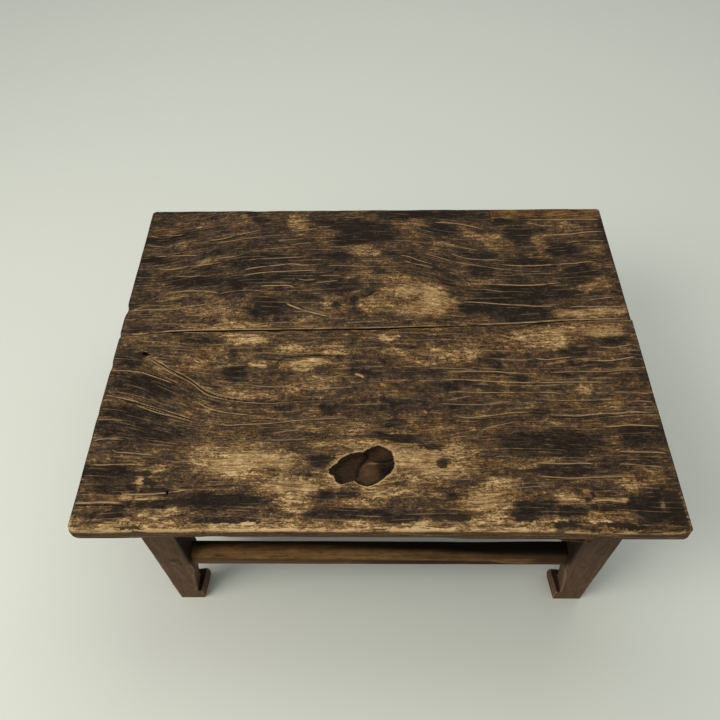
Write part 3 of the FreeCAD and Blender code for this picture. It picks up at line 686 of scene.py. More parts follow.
# Distances from a worn edge at which the grid has its closer lines
EDGE_STEPS = (0, 0.4, 1.1, 2.1, 3.4, 5.0)


def corner_round(x, y, cx, cy, sx, sy, radius):
    """Moves grid places in one corner square so that its outer sides follow an arc."""
    u, v = (x - cx) * sx / radius, (y - cy) * sy / radius
    inside = (u > 0) & (v > 0) & (u <= 1.0001) & (v <= 1.0001)
    nu, nv = u * np.sqrt(np.maximum(1 - v * v / 2, 0)), v * np.sqrt(np.maximum(1 - u * u / 2, 0))
    big = np.maximum(np.maximum(u, v), 1e-9)
    scale = big / np.maximum(np.hypot(nu, nv), 1e-9)
    full = rise(big, 0.0, 1.0)
    nu, nv = nu * (1 + (scale - 1) * full), nv * (1 + (scale - 1) * full)
    return np.where(inside, cx + sx * nu * radius, x), np.where(inside, cy + sy * nv * radius, y)


# Rows of a wall: share of the way down from the arris, and how far the lower edge is worn back there
WALL_ROWS = (
    (0.04, 0), (0.12, 0), (0.22, 0), (0.35, 0), (0.5, 0), (0.66, 0.1), (0.8, 0.3), (0.9, 0.55),
    (0.96, 0.8), (1.0, 1.0),
)


def splinter_shell():
    """A splinter that hangs from the lower front edge near the right leg."""
    rings = []
    y, stations = FRONT_EDGE + 1.4, 15
    for t in np.linspace(0, 1, stations):
        x = 234 + 48 * t
        z = UNDERSIDE + 0.6 - 9.4 * t ** 0.6
        half = 0.35 + 0.6 * math.sin(math.pi * t)
        rings.append([(x, y + j * half, z + k * half) for j, k in ((-1, -1), (1, -1), (1, 1), (-1, 1))])
    return np.array(rings).reshape(-1, 3), turned(stack_faces(stations, 4))


def outer_edge(side):
    """Where the long outer edge of a plank lies, and which way is inward from it."""
    return (FRONT_EDGE, 1.0) if side == "front" else (BACK_EDGE, -1.0)


def slab(name, side, right_end, x_lines, y_lines, y_seam, bottom):
    """A board: a fine upper face, worn arrises, and walls down to a flat underside.

    side is front or back; y_seam gives the curve of the edge that isn't on the outline.
    """
    outer, inward = outer_edge(side)
    left_is_end = x_lines[0] == LEFT_END
    X, T = np.meshgrid(x_lines, y_lines, indexing="ij")
    nominal = y_lines[-1] if side == "front" else y_lines[0]
    Y = T + (y_seam(X) - nominal) * rise(np.abs(T - nominal), 90, 0)
    # outline wander, fading inwards
    X = (X + edge_inset("left", Y) * rise(X, LEFT_END + 40, LEFT_END) * left_is_end
         - edge_inset("right", Y) * rise(X, right_end - 40, right_end))
    Y = Y + inward * edge_inset(side, X) * rise(np.abs(T - outer), 40, 0)
    inset = 0.6
    ends = (("l", LEFT_END, 1.0), ("r", right_end, -1.0))
    for key, end, sign in ends:
        if key == "l" and not left_is_end:
            continue
        radius = CORNER_RADIUS[side[0] + key] + inset
        X, Y = corner_round(X, Y, end + sign * radius, outer + inward * radius, -sign, -inward, radius)
    x, y = X.ravel(), Y.ravel()
    verts = [np.stack([x, y, np.full_like(x, TOP)], -1)]
    faces, loop = grid_faces(*X.shape)
    # the walls start under the arris; the lower front edge is worn back between the legs
    lx, ly = x[loop], y[loop]
    px, py = np.roll(lx, -1) - np.roll(lx, 1), np.roll(ly, -1) - np.roll(ly, 1)
    length = np.hypot(px, py)
    out_x, out_y = py / length, -px / length
    radius = wall_distance(lx, ly, side, right_end, y_seam, left_is_end)[1]
    bulge = np.zeros(len(loop))
    for key, end, _ in ends:
        full = CORNER_RADIUS[side[0] + key]
        bulge += 0.3 * full * rise(np.hypot(lx - end, ly - outer), full, 0.45 * full)
    worn_back = 0.8 + 2.8 * rise(lx, -320, -280) * rise(lx, 130, 60) * (ly < FRONT_EDGE + 6)
    previous, base = loop, len(x)
    for share, tuck in WALL_ROWS:
        out = bulge * math.sin(math.pi * share) ** 0.6 - tuck * worn_back
        wx = np.clip(lx + out_x * out, LEFT_END + 0.2, RIGHT_END - 0.2)
        wy = np.clip(ly + out_y * out, FRONT_EDGE + 0.2, BACK_EDGE - 0.2)
        verts.append(np.stack([wx, wy, TOP - radius - (TOP - bottom - radius) * share], -1))
        current = np.arange(base, base + len(loop))
        faces += band_faces(previous, current)
        previous, base = current, base + len(loop)
    faces.append(previous[::-1].tolist())
    if side == "front":
        splinter, splinter_faces = splinter_shell()
        verts.append(splinter)
        faces += [[base + i for i in f] for f in splinter_faces]
    return mesh_object(name + "_worn", np.vstack(verts), faces, [name])


def wall_distance(x, y, side, right_end, y_seam, left_is_end):
    """Distance inward from the worn outline, arris radius, distance from the seam edge, drop of the arris."""
    outer, inward = outer_edge(side)
    to_outer = (y - outer) * inward - edge_inset(side, x)
    to_left = x - LEFT_END - edge_inset("left", y) if left_is_end else np.full_like(x, 99.0)
    to_right = right_end - x - edge_inset("right", y)
    choices = np.stack([to_outer, to_left, to_right])
    radii = np.stack([arris_radius(side, x), arris_radius("left", y), arris_radius("right", y)])
    nearest = choices.argmin(0)
    d = np.take_along_axis(choices, nearest[None], 0)[0]
    radius = np.take_along_axis(radii, nearest[None], 0)[0]
    low = arris_drop(np.maximum(choices, 0), radii).max(0)
    for key, to_end, end_radius in (("l", to_left, radii[1]), ("r", to_right, radii[2])):
        r = CORNER_RADIUS[side[0] + key]
        inside = (to_end < r) & (to_outer < r)
        round_d = np.maximum(r - np.hypot(r - to_end, r - to_outer), 0)
        turn = smooth(np.arctan2(np.maximum(r - to_outer, 0), np.maximum(r - to_end, 1e-6)) * 2 / math.pi)
        round_radius = end_radius + (radii[0] - end_radius) * turn
        d = np.where(inside, round_d, d)
        radius = np.where(inside, round_radius, radius)
        low = np.where(inside, arris_drop(round_d, round_radius), low)
    return d, radius, (y_seam(x) - y) * inward, low


def arris_drop(d, radius):
    q = np.clip(1 - d / radius, 0, 1)
    return radius * (1 - np.sqrt(np.maximum(1 - q * q, 0)))


def line_fields(x, y, table, norm, taper):
    """Distance to the nearest line of a table, scaled by its width, and how strong the line is there."""
    distance, strength = np.full_like(x, FAR), np.zeros_like(x)
    for width, amount, *points in table:
        inside, d, along = line_distance(x, y, points)
        nearer = np.abs(d) < np.abs(distance[inside])
        here = amount * (np.abs(d) < LINE_REACH) * rise(np.abs(along - 0.5), 0.5, taper)
        strength[inside] = np.where(nearer, here, strength[inside])
        distance[inside] = np.where(nearer, d * norm / width, distance[inside])
    return distance, strength


def top_fields(x, y):
    """Wear, ridges and cracks, and nearness to the knot, at each place of the upper face."""
    warp_x = x + 13 * noise(x, y, 30, 16, 61, 3)
    warp_y = y + 8 * noise(x, y, 26, 14, 71, 3)
    gold, dark = blots(warp_x, warp_y, GOLD), blots(warp_x, warp_y, DARK)
    share = knot_share(x, y)
    halo = rise(share, 1.55, 1.05) * (0.75 + 0.25 * noise(x, y, 12, 12, 81))
    wear = 0.41 + 0.36 * np.tanh(1.3 * (gold + 0.8 * halo))
    wear = wear - 0.34 * np.tanh(1.25 * dark) * (1 - 0.7 * rise(halo, 0.3, 0.8))
    # painted shade: the back is made darker, to offset the stronger sheen there; the front edge near the
    # right end is worn lighter
    wear = wear - 0.085 * rise(y, 20, 100) + 0.27 * rise(y, -280, -291) * rise(x, 345, 310)
    lines = (*line_fields(x, y, RIDGES, 1.3, 0.38), *line_fields(x, y, CRACKS, 0.8, 0.42))
    return wear, lines, share


def dress_top(piece, side, right_end, y_seam, left_is_end):
    """Wears the upper face of a board and stores the fields that its material reads."""
    mesh = piece.data
    x, y, z = coords(mesh).T.copy()
    start_z = z.copy()
    d, radius, to_seam, low = wall_distance(x, y, side, right_end, y_seam, left_is_end)
    wear, (ridge_d, ridge_b, crack_d, crack_h), share = top_fields(x, y)
    upper = rise(z, TOP - 5.4, TOP - 0.1)
    seam_radius = 1.1 + 0.5 * noise(x, y, 30, 30, 41)
    low = np.maximum(low, arris_drop(np.maximum(to_seam, 0), seam_radius) * 0.9)
    relief = 0.45 + 0.35 * noise(x, y, 120, 70, 91) + 0.32 * noise(x, grain(x, y), 70, 5.2, 92, 3)
    relief = relief + 0.1 * noise(x, y, 4, 2.5, 93)
    relief = relief + 0.35 * rise(wear, 0.55, 0.8) - 0.42 * ridge_b * rise(np.abs(ridge_d), 1.8, 0.3)
    relief = relief + crack_h * rise(np.abs(crack_d), 1.6, 0.2) + 0.8 * rise(share, 1.12, 1.0)
    z = z - upper * (low + np.maximum(relief, 0.02) * rise(d, 0.0, 4.0))
    # the side faces: saw marks and shallow flakes
    wall = (1 - rise(z, TOP - 3.0, TOP - 1.0)) * rise(z, UNDERSIDE + 3, UNDERSIDE + 9)
    flake = 0.5 + 0.5 * noise(x + y, z, 46, 5.0, 95, 3)
    push = wall * rise(flake, 0.35, 0.9) * 0.7 * (d < 1.5)
    outer, inward = outer_edge(side)
    y = y + inward * push * (np.abs(y - outer) < 3.5)
    x = x + push * (x < LEFT_END + 4) - push * (x > right_end - 4)
    set_coords(mesh, np.stack([x, y, z], -1))
    left_face = rise(x, LEFT_END + 2.5, LEFT_END + 1.0) * left_is_end
    end_face = np.maximum(left_face, rise(x, right_end - 2.5, right_end - 1.0))
    in_knot = (share < 1.03) & (z < TOP - 1.3) & (side == "front")
    rubbed = radius * (0.45 + 0.4 * rise(radius, 4.5, 9))
    edge = np.exp(-((TOP - 0.4 - z - rubbed) / (0.2 * radius + 1.4)) ** 2) * rise(d, 5.0, 2.0)
    # at the ends and the back the arris kept most of its dark lacquer
    at_end = np.maximum(rise(x, LEFT_END + 8, LEFT_END + 3), rise(x, right_end - 8, right_end - 3))
    at_end = at_end * rise(y, FRONT_EDGE + 20, FRONT_EDGE + 60)
    dark_arris = np.maximum(at_end, rise(y, BACK_EDGE - 8, BACK_EDGE - 3))
    edge = edge * (1 - dark_arris * (1.25 + 0.45 * noise(x, y, 45, 45, 97)))
    side_face = rise(z, TOP - radius, TOP - radius - 2.2) * (d < 2.0) * (z > UNDERSIDE - 0.3)
    wear = np.where(z < UNDERSIDE - 0.3, 0.4, wear)
    in_hole = (start_z < TOP - 0.5) & (start_z > TOP - 12) & (d > 5.5) & (to_seam > 3) & (share > 1.12)
    lines = (ridge_d, ridge_b, np.where(in_hole, 0, crack_d), np.where(in_hole, 1, crack_h))
    marks = (edge, in_knot, end_face)
    store_fields(mesh, x, y, z, wear, lines, share, np.maximum(to_seam, 0), marks, side_face)


def store_fields(mesh, x, y, z, wear, lines, share, to_seam, marks=(0, 0, 0), side_face=0):
    """Keeps what the material of the upper face reads."""
    ridge_d, ridge_b, crack_d, crack_h = lines
    put_vector(mesh, "flow", x, grain(x, y), z)
    put_vector(mesh, "place", x, y, z)
    put_vector(mesh, "tone", wear, ridge_b, rise(crack_h, 0, 1))
    put_vector(mesh, "lines", ridge_d, crack_d, to_seam)
    put_vector(mesh, "marks", *marks)
    put_vector(mesh, "hollow", knot_shade(x, y), side_face, share)
    put_vector(mesh, "flakes", flake_distance(x, y, BARE), flake_distance(x, y, KEPT), 0)


def dress_end_grain(mesh, shift):
    """Wears the end of a tenon or wedge level with the planks; shift makes it lighter or darker."""
    x, y, z = coords(mesh).T.copy()
    wear, lines, share = top_fields(x, y)
    relief = 0.6 + 0.3 * noise(x, y, 120, 70, 91) + 0.35 * noise(x, y, 7, 5, 96, 2)
    z = np.where(z > TOP - 1.0, TOP - np.maximum(relief, 0.1), z)
    set_coords(mesh, np.stack([x, y, z], -1))
    store_fields(mesh, x, y, z, wear + shift, lines, share, FAR)


# The two planks and the patch

def front_seam(x):
    return seam_line(x) - seam_gap(x)


def back_seam(x):
    return seam_line(x) + seam_gap(x)


def to_corner(points, side, end):
    """Leg coordinates (inward along the length, inward along the depth, up) to the table's."""
    cx, sx = (LEG_LEFT, 1) if side == "left" else (LEG_RIGHT, -1)
    cy, sy = (LEG_FRONT, 1) if end == "front" else (LEG_BACK, -1)
    p = np.asarray(points, float)
    return np.stack([cx + sx * p[:, 0], cy + sy * p[:, 1], p[:, 2]], -1)


def placed_faces(faces, side, end):
    """Faces that still look outward after to_corner, which mirrors two of the four corners."""
    return turned(faces) if (side == "right") != (end == "back") else faces


def corner_block(side, end, low, high):
    p = to_corner([low, high], side, end)
    return block(p.min(0), p.max(0))


def fine_block(low, high, step=1.6, taper=0.0):
    """Points and faces of a box with a fine upper face, narrower at its foot by taper on its long sides."""
    X, Y = np.meshgrid(spaced(low[0], high[0], step), spaced(low[1], high[1], step), indexing="ij")
    faces, loop = grid_faces(*X.shape)
    x, y = X.ravel(), Y.ravel()
    foot_y = y[loop] - np.sign(y[loop] - (low[1] + high[1]) / 2) * taper
    verts = [np.stack([x, y, np.full(x.size, high[2])], -1),
             np.stack([x[loop], foot_y, np.full(len(loop), low[2])], -1)]
    foot = np.arange(x.size, x.size + len(loop))
    faces += band_faces(loop, foot)
    faces.append(foot[::-1].tolist())
    return np.vstack(verts), faces


def tenon_box(side, low, high, gap=0.0):
    """Two corners of the tenon on top of a leg, between two heights, in the leg's coordinates."""
    return (10 - gap, 8 - gap, low), (LEG_WIDTH[side] - 2 + gap, LEG_DEPTH - 7 + gap, high)


def tenon_hole(side, end):
    """The hole in the top for a leg's tenon."""
    return corner_block(side, end, *tenon_box(side, UNDERSIDE - 5, TOP + 5, 0.15))


def batten_housing(x, front):
    """The dovetailed groove of a batten, from a place near the front to beyond the back edge."""
    neck, flare, low, high = 11.2, 14.7, UNDERSIDE - 1, UNDERSIDE + 9.2
    shape = [(x - neck, low), (x + neck, low), (x + flare, high), (x - flare, high)]
    points = [(px, py, pz) for py in (front, BACK_EDGE + 4) for px, pz in shape]
    return points, [(0, 1, 2, 3), (7, 6, 5, 4), (0, 4, 5, 1), (1, 5, 6, 2), (2, 6, 7, 3), (3, 7, 4, 0)]


def end_lines(start, end, step, fine=(), left=True, right=True):
    """Grid lines with closer ones at worn ends."""
    steps = np.array(EDGE_STEPS)
    middle = spaced(start + steps[-1] * left, end - steps[-1] * right, step, fine)
    head = start + steps[:-1] if left else np.empty(0)
    tail = end - steps[-2::-1] if right else np.empty(0)
    return np.concatenate([head, middle, tail])


def patch_seam(x):
    return PATCH_FRONT + 0 * x


def board(name, side, right_end, x_lines, y_lines, y_seam, bottom, holes):
    """A plank or the patch, cut and worn."""
    piece = slab(name, side, right_end, x_lines, y_lines, y_seam, bottom)
    if holes:
        subtract(piece, holes)
    dress_top(piece, side, right_end, y_seam, x_lines[0] == LEFT_END)


holes = [knot_cutter(), small_hole(-351, -19, 6.6, 3.4, 7, -0.5), small_hole(-279, -250, 2.6, 2.4, 6),
         small_hole(-357, -268, 2.2, 1.2, 4),
         block((-225, FRONT_EDGE - 4, 311), (-200, FRONT_EDGE + 1.9, TOP + 3))]
holes += [tenon_hole(s, "front") for s in ("left", "right")]
holes += [batten_housing(x, FRONT_EDGE + 59.8) for x in BATTENS]
# the grid is finer round the large knot
board("top_plank_front", "front", RIGHT_END, end_lines(LEFT_END, RIGHT_END, 2.5, (-72, 30, 1.5)),
      end_lines(FRONT_EDGE, JOINT, 1.85, (-246, -174, 1.15), right=False), front_seam, UNDERSIDE,
      holes)

holes = [tenon_hole(s, "back") for s in ("left", "right")] + [batten_housing(x, 0.0) for x in BATTENS]
holes.append(block(REBATE, (BACK_PLANK_END + 4, BACK_EDGE + 4, TOP + 4)))
board("top_plank_back", "back", BACK_PLANK_END, end_lines(LEFT_END, BACK_PLANK_END, 2.4),
      end_lines(JOINT, BACK_EDGE, 1.5, left=False), back_seam, UNDERSIDE, holes)

board("corner_patch", "back", BACK_PLANK_END, end_lines(PATCH_LEFT, BACK_PLANK_END, 2.0, left=False),
      end_lines(PATCH_FRONT, BACK_EDGE, 1.2, left=False), patch_seam, PATCH_BOTTOM, [])


# Legs: rings of points up the leg, following both sawn views

def arc_through(p, q, r):
    """Centre and radius of the circle through three places."""
    (ax, ay), (bx, by), (cx, cy) = p, q, r
    aa, bb, cc = ax * ax + ay * ay, bx * bx + by * by, cx * cx + cy * cy
    d = 2 * (ax * (by - cy) + bx * (cy - ay) + cx * (ay - by))
    ux = (aa * (by - cy) + bb * (cy - ay) + cc * (ay - by)) / d
    uy = (aa * (cx - bx) + bb * (ax - cx) + cc * (bx - ax)) / d
    return ux, uy, math.hypot(ax - ux, ay - uy)


def arc_at(z, p, q, r):
    """How far out the arc through three places lies at a height."""
    ux, uz, radius = arc_through(p, q, r)
    side = 1 if q[0] > ux else -1
    return ux + side * math.sqrt(max(radius ** 2 - (z - uz) ** 2, 0))


# Heights of the hoof's shoulder and of the ankle; scoop and toe inset in each of the two sawn views
SHOULDER, ANKLE = 30, 33
ALONG, ACROSS = (13.5, 1), (17, 4)
LEG_LEVELS = (0, 0.6, 1.6, 3, *np.arange(5, 29, 2.0), 28.8, 29.6, 30, 30.6, 31.3, 32, 32.6, 33,
              *np.linspace(34.5, RAIL_BOTTOM, 44), *np.linspace(RAIL_BOTTOM + 4, UNDERSIDE - 0.2, 44))


def leg_reach(z, full, scoop, inset):
    """How far the leg reaches inward at a height, in one of its two views."""
    ankle, nose = full - scoop, full - inset
    if z <= SHOULDER:
        return arc_at(z, (nose - 2.5, 0), (nose, 16), (nose - 2, SHOULDER))
    if z <= ANKLE:
        return nose - 2 + (ankle - nose + 2) * (z - SHOULDER) / (ANKLE - SHOULDER)
    if z <= RAIL_BOTTOM:
        return arc_at(z, (ankle, ANKLE), (full - scoop * 0.62, 80), (full, RAIL_BOTTOM))
    return full


# Steps along each side and round each corner of a leg's rings
SIDE_POINTS, ARC_POINTS = 13, 4


def rounded_ring(w, d, radii):
    """Points round a rectangle with its own radius at each corner, and their closeness to an arris."""
    arcs = []
    for n, (cx, cy, sx, sy) in enumerate(((0, 0, 1, 1), (w, 0, -1, 1), (w, d, -1, -1), (0, d, 1, -1))):
        r = radii[n]
        angles = [math.pi * (1 + n / 2) + math.pi / 2 * k / ARC_POINTS for k in range(ARC_POINTS + 1)]
        arcs.append([(cx + sx * r + r * math.cos(a), cy + sy * r + r * math.sin(a)) for a in angles])
    points, edge = [], []
    for arc, following in zip(arcs, arcs[1:] + arcs[:1]):
        points += arc
        edge += [1.0] * len(arc)
        (x0, y0), (x1, y1) = arc[-1], following[0]
        for k in range(1, SIDE_POINTS):
            t = k / SIDE_POINTS
            points.append((x0 + (x1 - x0) * t, y0 + (y1 - y0) * t))
            gap = min(t, 1 - t) * math.hypot(x1 - x0, y1 - y0)
            edge.append(math.exp(-(gap / 2.4) ** 2))
    return points, edge


def leg_rings(width, seed):
    """Points of a leg below the top, their closeness to an arris, and how many there are per ring."""
    ankle_w, ankle_d = leg_reach(ANKLE, width, *ALONG), leg_reach(ANKLE, LEG_DEPTH, *ACROSS)
    verts, edges = [], []
    for z in LEG_LEVELS:
        w, d = leg_reach(z, width, *ALONG), leg_reach(z, LEG_DEPTH, *ACROSS)
        heel = max(0.0, 1.2 - z) * 0.5
        radii = [2.0 + 0.9 * noise(z, n, 38, 1, seed + n) + heel * 0.3 for n in range(4)]
        radii[2] = min(radii[2] + 1.2, 4.5)
        ring, edge = rounded_ring(w - heel, d - heel, radii)
        if z < ANKLE:
            # the toe points to the inner corner, so it swells from the front and outer faces towards there
            ring = [(px - max(px - ankle_w, 0) * 0.5 * (1 - py / d),
                     py - max(py - ankle_d, 0) * 0.5 * (1 - px / w)) for px, py in ring]
        verts += [(px + heel * 0.5, py + heel * 0.5, z) for px, py in ring]
        lip = 0.7 * math.exp(-((z - 29.6) / 1.6) ** 2)
        for e, (px, py) in zip(edge, ring):
            edges.append(max(e * 0.85, lip * (px > ankle_w - 2 or py > ankle_d - 2)))
    # dents and hollows of wear, always inward
    u, v, z = np.array(verts).T
    body = rise(z, 0.5, 4) * rise(z, UNDERSIDE + 1, UNDERSIDE - 2)
    dent = 0.35 + 0.35 * noise(u + 1.7 * v, z, 9, 46, seed + 5, 3) + 0.25 * noise(u - v, z, 30, 60, seed + 7)
    across, along = u - width / 2, v - LEG_DEPTH / 2
    inward = body * dent / np.maximum(np.hypot(across, along), 1e-6)
    return np.stack([u - inward * across, v - inward * along, z], -1), edges, len(ring)


def leg_cuts(side, end):
    """Mortises of the stretchers and the kerf of the wedge, a little larger than what goes in."""
    gap, width, depth = 0.08, LEG_WIDTH[side], LEG_DEPTH
    u, v = width * SIDE_RAIL_SHARE, RAIL_SETBACK + RAIL_WIDTH / 2
    low_u, high_u = u - THROUGH_HALF - gap, u + THROUGH_HALF + gap
    foot, stub, through, head = (RAIL_MIDDLE + h for h in (TENON_FOOT, STUB_HEAD, THROUGH_FOOT, TENON_HEAD))
    boxes = (((low_u, -3, through - gap), (high_u, depth + 3, head + gap)),
             ((low_u, depth - HOUSED - gap, foot - gap), (high_u, depth + 3, head)),
             ((STUB_STOP - gap, v - STUB_HALF - gap, foot - gap),
              (width + 3, v + STUB_HALF + gap, stub + gap)))
    cuts = [corner_block(side, end, low, high) for low, high in boxes]
    kerf_foot, kerf_head = TOP - 24.2, TOP + 2
    profile = ((-1.2, kerf_foot), (1.2, kerf_foot), (3.85, kerf_head), (-3.85, kerf_head))
    kerf = [(u, WEDGE_MIDDLE + dv, z) for u in (7, width + 1) for dv, z in profile]
    faces = [(3, 2, 1, 0), (4, 5, 6, 7), (0, 1, 5, 4), (1, 2, 6, 5), (2, 3, 7, 6), (3, 0, 4, 7)]
    return cuts + [(to_corner(kerf, side, end), placed_faces(faces, side, end))]


def leg_mesh(side, end, seed):
    """One leg with its tenon, mortises and kerf."""
    rings, edges, count = leg_rings(LEG_WIDTH[side], seed)
    tenon, tenon_faces = fine_block(*tenon_box(side, UNDERSIDE - 6, TOP - 0.5))
    edges += [0.3] * len(tenon)
    faces = stack_faces(len(LEG_LEVELS), count) + [[len(rings) + i for i in f] for f in tenon_faces]
    placed = to_corner(np.vstack([rings, tenon]), side, end)
    name = "leg_%s_%s" % (end, side)
    piece = mesh_object(name + "_worn", placed, placed_faces(faces, side, end), [name])
    before = coords(piece.data)
    subtract(piece, leg_cuts(side, end))
    co = coords(piece.data)
    # closeness to an arris is read back from the first point at the same place; new points get 0.3
    rounded = {tuple(np.round(a, 2)): e for a, e in zip(before, edges)}
    edge = np.array([rounded.get(tuple(np.round(a, 2)), 0.3) for a in co])
    dress_end_grain(piece.data, TENON_SHIFT[end, side])
    store_fields_of_leg(piece.data, *co.T, edge, seed, side)
    return piece


def overlay(mesh, name, where, *values):
    """Writes a stored vector anew at some of the points."""
    data = mesh.attributes[name].data
    kept = np.empty(len(data) * 3, np.float32)
    data.foreach_get("vector", kept)
    kept = kept.reshape(-1, 3)
    kept[where] = np.stack(np.broadcast_arrays(*values), -1)[where]
    data.foreach_set("vector", kept.ravel())


def store_fields_of_leg(mesh, x, y, z, edge, seed, side):
    """Wear of the arrises, painted shade on the inner faces and the upper part under the top, and a painted
    shadow on the ledge over the toe.
    """
    u = np.abs(x - (LEG_LEFT if side == "left" else LEG_RIGHT))
    v = np.minimum(np.abs(y - LEG_FRONT), np.abs(y - LEG_BACK))
    width = LEG_WIDTH[side]
    body = z < TOP - 3
    flow_x, flow_y = x + 3 * noise(z, x, 80, 30, seed + 9), y + 3 * noise(z, y, 80, 30, seed + 10)
    overlay(mesh, "flow", body, z, flow_x, flow_y)
    inner = np.maximum(rise(u, width - 3.4, width - 1.6), rise(v, LEG_DEPTH - 3.4, LEG_DEPTH - 1.6))
    # painted shade: the inner faces near the top, the last 16 mm under the top, and the upper part of each
    # leg, where the top's shadow falls
    under = rise(z, 135, 168) * inner + 0.5 * rise(z, UNDERSIDE - 16, UNDERSIDE)
    under = np.maximum(under, (0.24 if side == "left" else 0.34) * rise(z, 110, 220))
    # painted shadow: near black on the ledge over the toe
    toe = np.maximum(rise(u, width - 14.5, width - 13.0), rise(v, LEG_DEPTH - 18, LEG_DEPTH - 16.5))
    ledge_shadow = rise(z, 29.9, 30.6) * rise(z, 35.5, 33.0) * toe
    mark = np.exp(-((u - width * SIDE_RAIL_SHARE) / 8.5) ** 4 - ((z - 168) / 4.5) ** 2) * (v < 2.5)
    mark = mark * (0.8 if side == "left" else 0.2)
    overlay(mesh, "tone", body, edge * (1 - 0.8 * under), np.minimum(under, 1), np.maximum(ledge_shadow, mark))


# How much lighter or darker than the planks the end grain of each tenon and wedge is
TENON_SHIFT = dict(zip(CORNERS, (-0.12, -0.10, 0.0, -0.04)))
WEDGE_SHIFT = dict(zip(CORNERS, (0.04, 0.30, 0.12, 0.06)))
legs = []
for number, (end, side) in enumerate(CORNERS):
    legs.append(leg_mesh(side, end, 200 + 20 * number))
    low_v, high_v = WEDGE_MIDDLE - 3.15, WEDGE_MIDDLE + 3.15
    wedge, faces = fine_block((7.4, low_v, TOP - 24), (LEG_WIDTH[side] + 0.6, high_v, TOP - 0.4), 1.5, 2.1)
    name = "wedge_%s_%s" % (end, side)
    piece = mesh_object(name + "_worn", to_corner(wedge, side, end), placed_faces(faces, side, end),
                        [name])
    dress_end_grain(piece.data, WEDGE_SHIFT[end, side])


# Stretchers: a rounded front, worn down in the middle by feet

def rail_section(sag, groove):
    """Round the section: outward (negative), up, closeness to an arris, and the height before wear."""
    half_w, half_h, r = RAIL_WIDTH / 2, (RAIL_TOP - RAIL_BOTTOM) / 2, 5.0
    _, _, radius = arc_through((0, -half_h), (-half_w, 0), (0, half_h))
    centre, flat, low, high = radius - half_w, half_w - r, r - half_h, half_h - r
    span = math.asin(half_h / radius)
    points = []
    for k in range(25):
        a = span - 2 * span * k / 24
        u, v = centre - radius * math.cos(a), radius * math.sin(a)
        points.append((u + groove * hump(v, -11.5, 1.3), v, 0.8 * hump(k, 4, 3.0)))
    quarter = [math.pi / 2 * k / 5 for k in range(6)]
    points += [(flat * k / 5, -half_h, 0.2) for k in range(1, 5)]
    points += [(flat + r * math.sin(a), low - r * math.cos(a), 0.5) for a in quarter]
    points += [(half_w, low + (high - low) * k / 8, 0.1) for k in range(1, 8)]
    points += [(flat + r * math.cos(a), high + r * math.sin(a), 0.6) for a in quarter]
    points += [(flat * (1 - k / 5), half_h, 0.5) for k in range(1, 5)]
    return [(u + 2.5 * rise(u, 0, 9) * rise(v, -4, 8), v - (sag - 1.0) * rise(v, -4, 16), edge, v)
            for u, v, edge in points]


def rail_mesh(name, start, end, place, seed, tenons, sag=1.6, groove=1.3, painted_shade=0.5):
    """A stretcher between two shoulders with its tenons; place maps (along, outward, up) to the table."""
    middle = np.linspace(start + 3, end - 3, max(8, round((end - start) / 5)))
    stations = (start, start + 0.7, *middle, end - 0.7, end)
    rows = []
    for s in stations:
        t = (s - start) / (end - start)
        wear = sag * math.sin(math.pi * t) ** 1.5 * (0.7 + 0.3 * noise(s, 0, 70, 1, seed))
        wear += sag * 1.3 * hump(t, 0.77, 0.09)
        cut = groove * rise(t, 0.02, 0.06) * (0.75 + 0.45 * noise(s, 0, 26, 1, seed + 1))
        rows += [(s, *point) for point in rail_section(wear, cut)]
    faces = stack_faces(len(stations), len(rows) // len(stations))
    s, u, v, edge, level = np.array(rows).T
    dent = (0.3 + 0.3 * noise(s, v * 2 + u, 40, 7, seed + 3, 3)) / np.maximum(np.hypot(u, v), 1e-6)
    local = np.stack([s, u - dent * u, v - dent * v], -1)
    for low, high in tenons:
        corners, polygons = block(low, high)
        faces += [[len(local) + i for i in f] for f in polygons]
        local = np.vstack([local, corners])
    tenon = np.arange(len(local)) >= len(rows)
    edge, level = np.append(edge, np.full(tenon.sum(), 0.4)), np.append(level, np.zeros(tenon.sum()))
    piece = mesh_object(name + "_worn", place(local), faces, [name])
    bm = bmesh.new()
    bm.from_mesh(piece.data)
    bmesh.ops.recalc_face_normals(bm, faces=bm.faces)
    bm.to_mesh(piece.data)
    bm.free()
    s, u, v = local.T
    flow_u, flow_v = u + 2 * noise(s, v, 120, 30, seed + 5), v + 2 * noise(s, u, 120, 30, seed + 6)
    put_vector(piece.data, "flow", s, flow_u, flow_v)
    put_vector(piece.data, "tone", edge * (v < 10), 0, hump(v, -12.5, 1.2) * (u < 0))
    t = (s - start) / (end - start)
    # painted shadow of the top: near black over the back of the upper face, reaching further down towards the
    # right end
    round_back = level + 0.3 * np.maximum(u, 0) * (level > 16)
    lit_below = 16.5 - 13 * np.clip(t - 0.6, 0, 0.35)
    shaded_above = 22 - 2.7 * rise(t, 0.2, 0.62) - 2 * rise(t, 0.62, 0.87)
    upper = rise(round_back, lit_below, shaded_above) * painted_shade
    # a pale strip low on the left half; painted shade over the lower front below a bound that drops towards
    # the right, which leaves a dark band above the strip; and painted shade over the right end
    strip = rise(level, 10.2 - 17 * t, 7.8 - 17 * t) * rise(t, 0.5, 0.38) * rise(level, -9, -4) * (u < 4)
    bound = 10 - 4.5 * np.clip(t - 0.2, 0, 0.55) - 9 * rise(t, 0.78, 0.87)
    low = rise(level, bound + 1.3, bound - 1.3) * (0.68 + 0.3 * rise(t, 0.4, 0.6)) * painted_shade
    right_shade = (0.56 * rise(t, 0.48, 0.63) + 0.4 * rise(t, 0.78, 0.95)) * (painted_shade > 0.6)
    # the right end's painted shade is mostly lifted below the lower arris, except at the very end
    right_shade = right_shade * (1 - 0.8 * rise(level, 12, 9.5) * rise(t, 0.93, 0.88))
    put_vector(piece.data, "marks", tenon, upper, strip)
    # the vector 'turned' holds the painted shade: the lower front and the right end
    put_vector(piece.data, "turned", low, right_shade, 0)


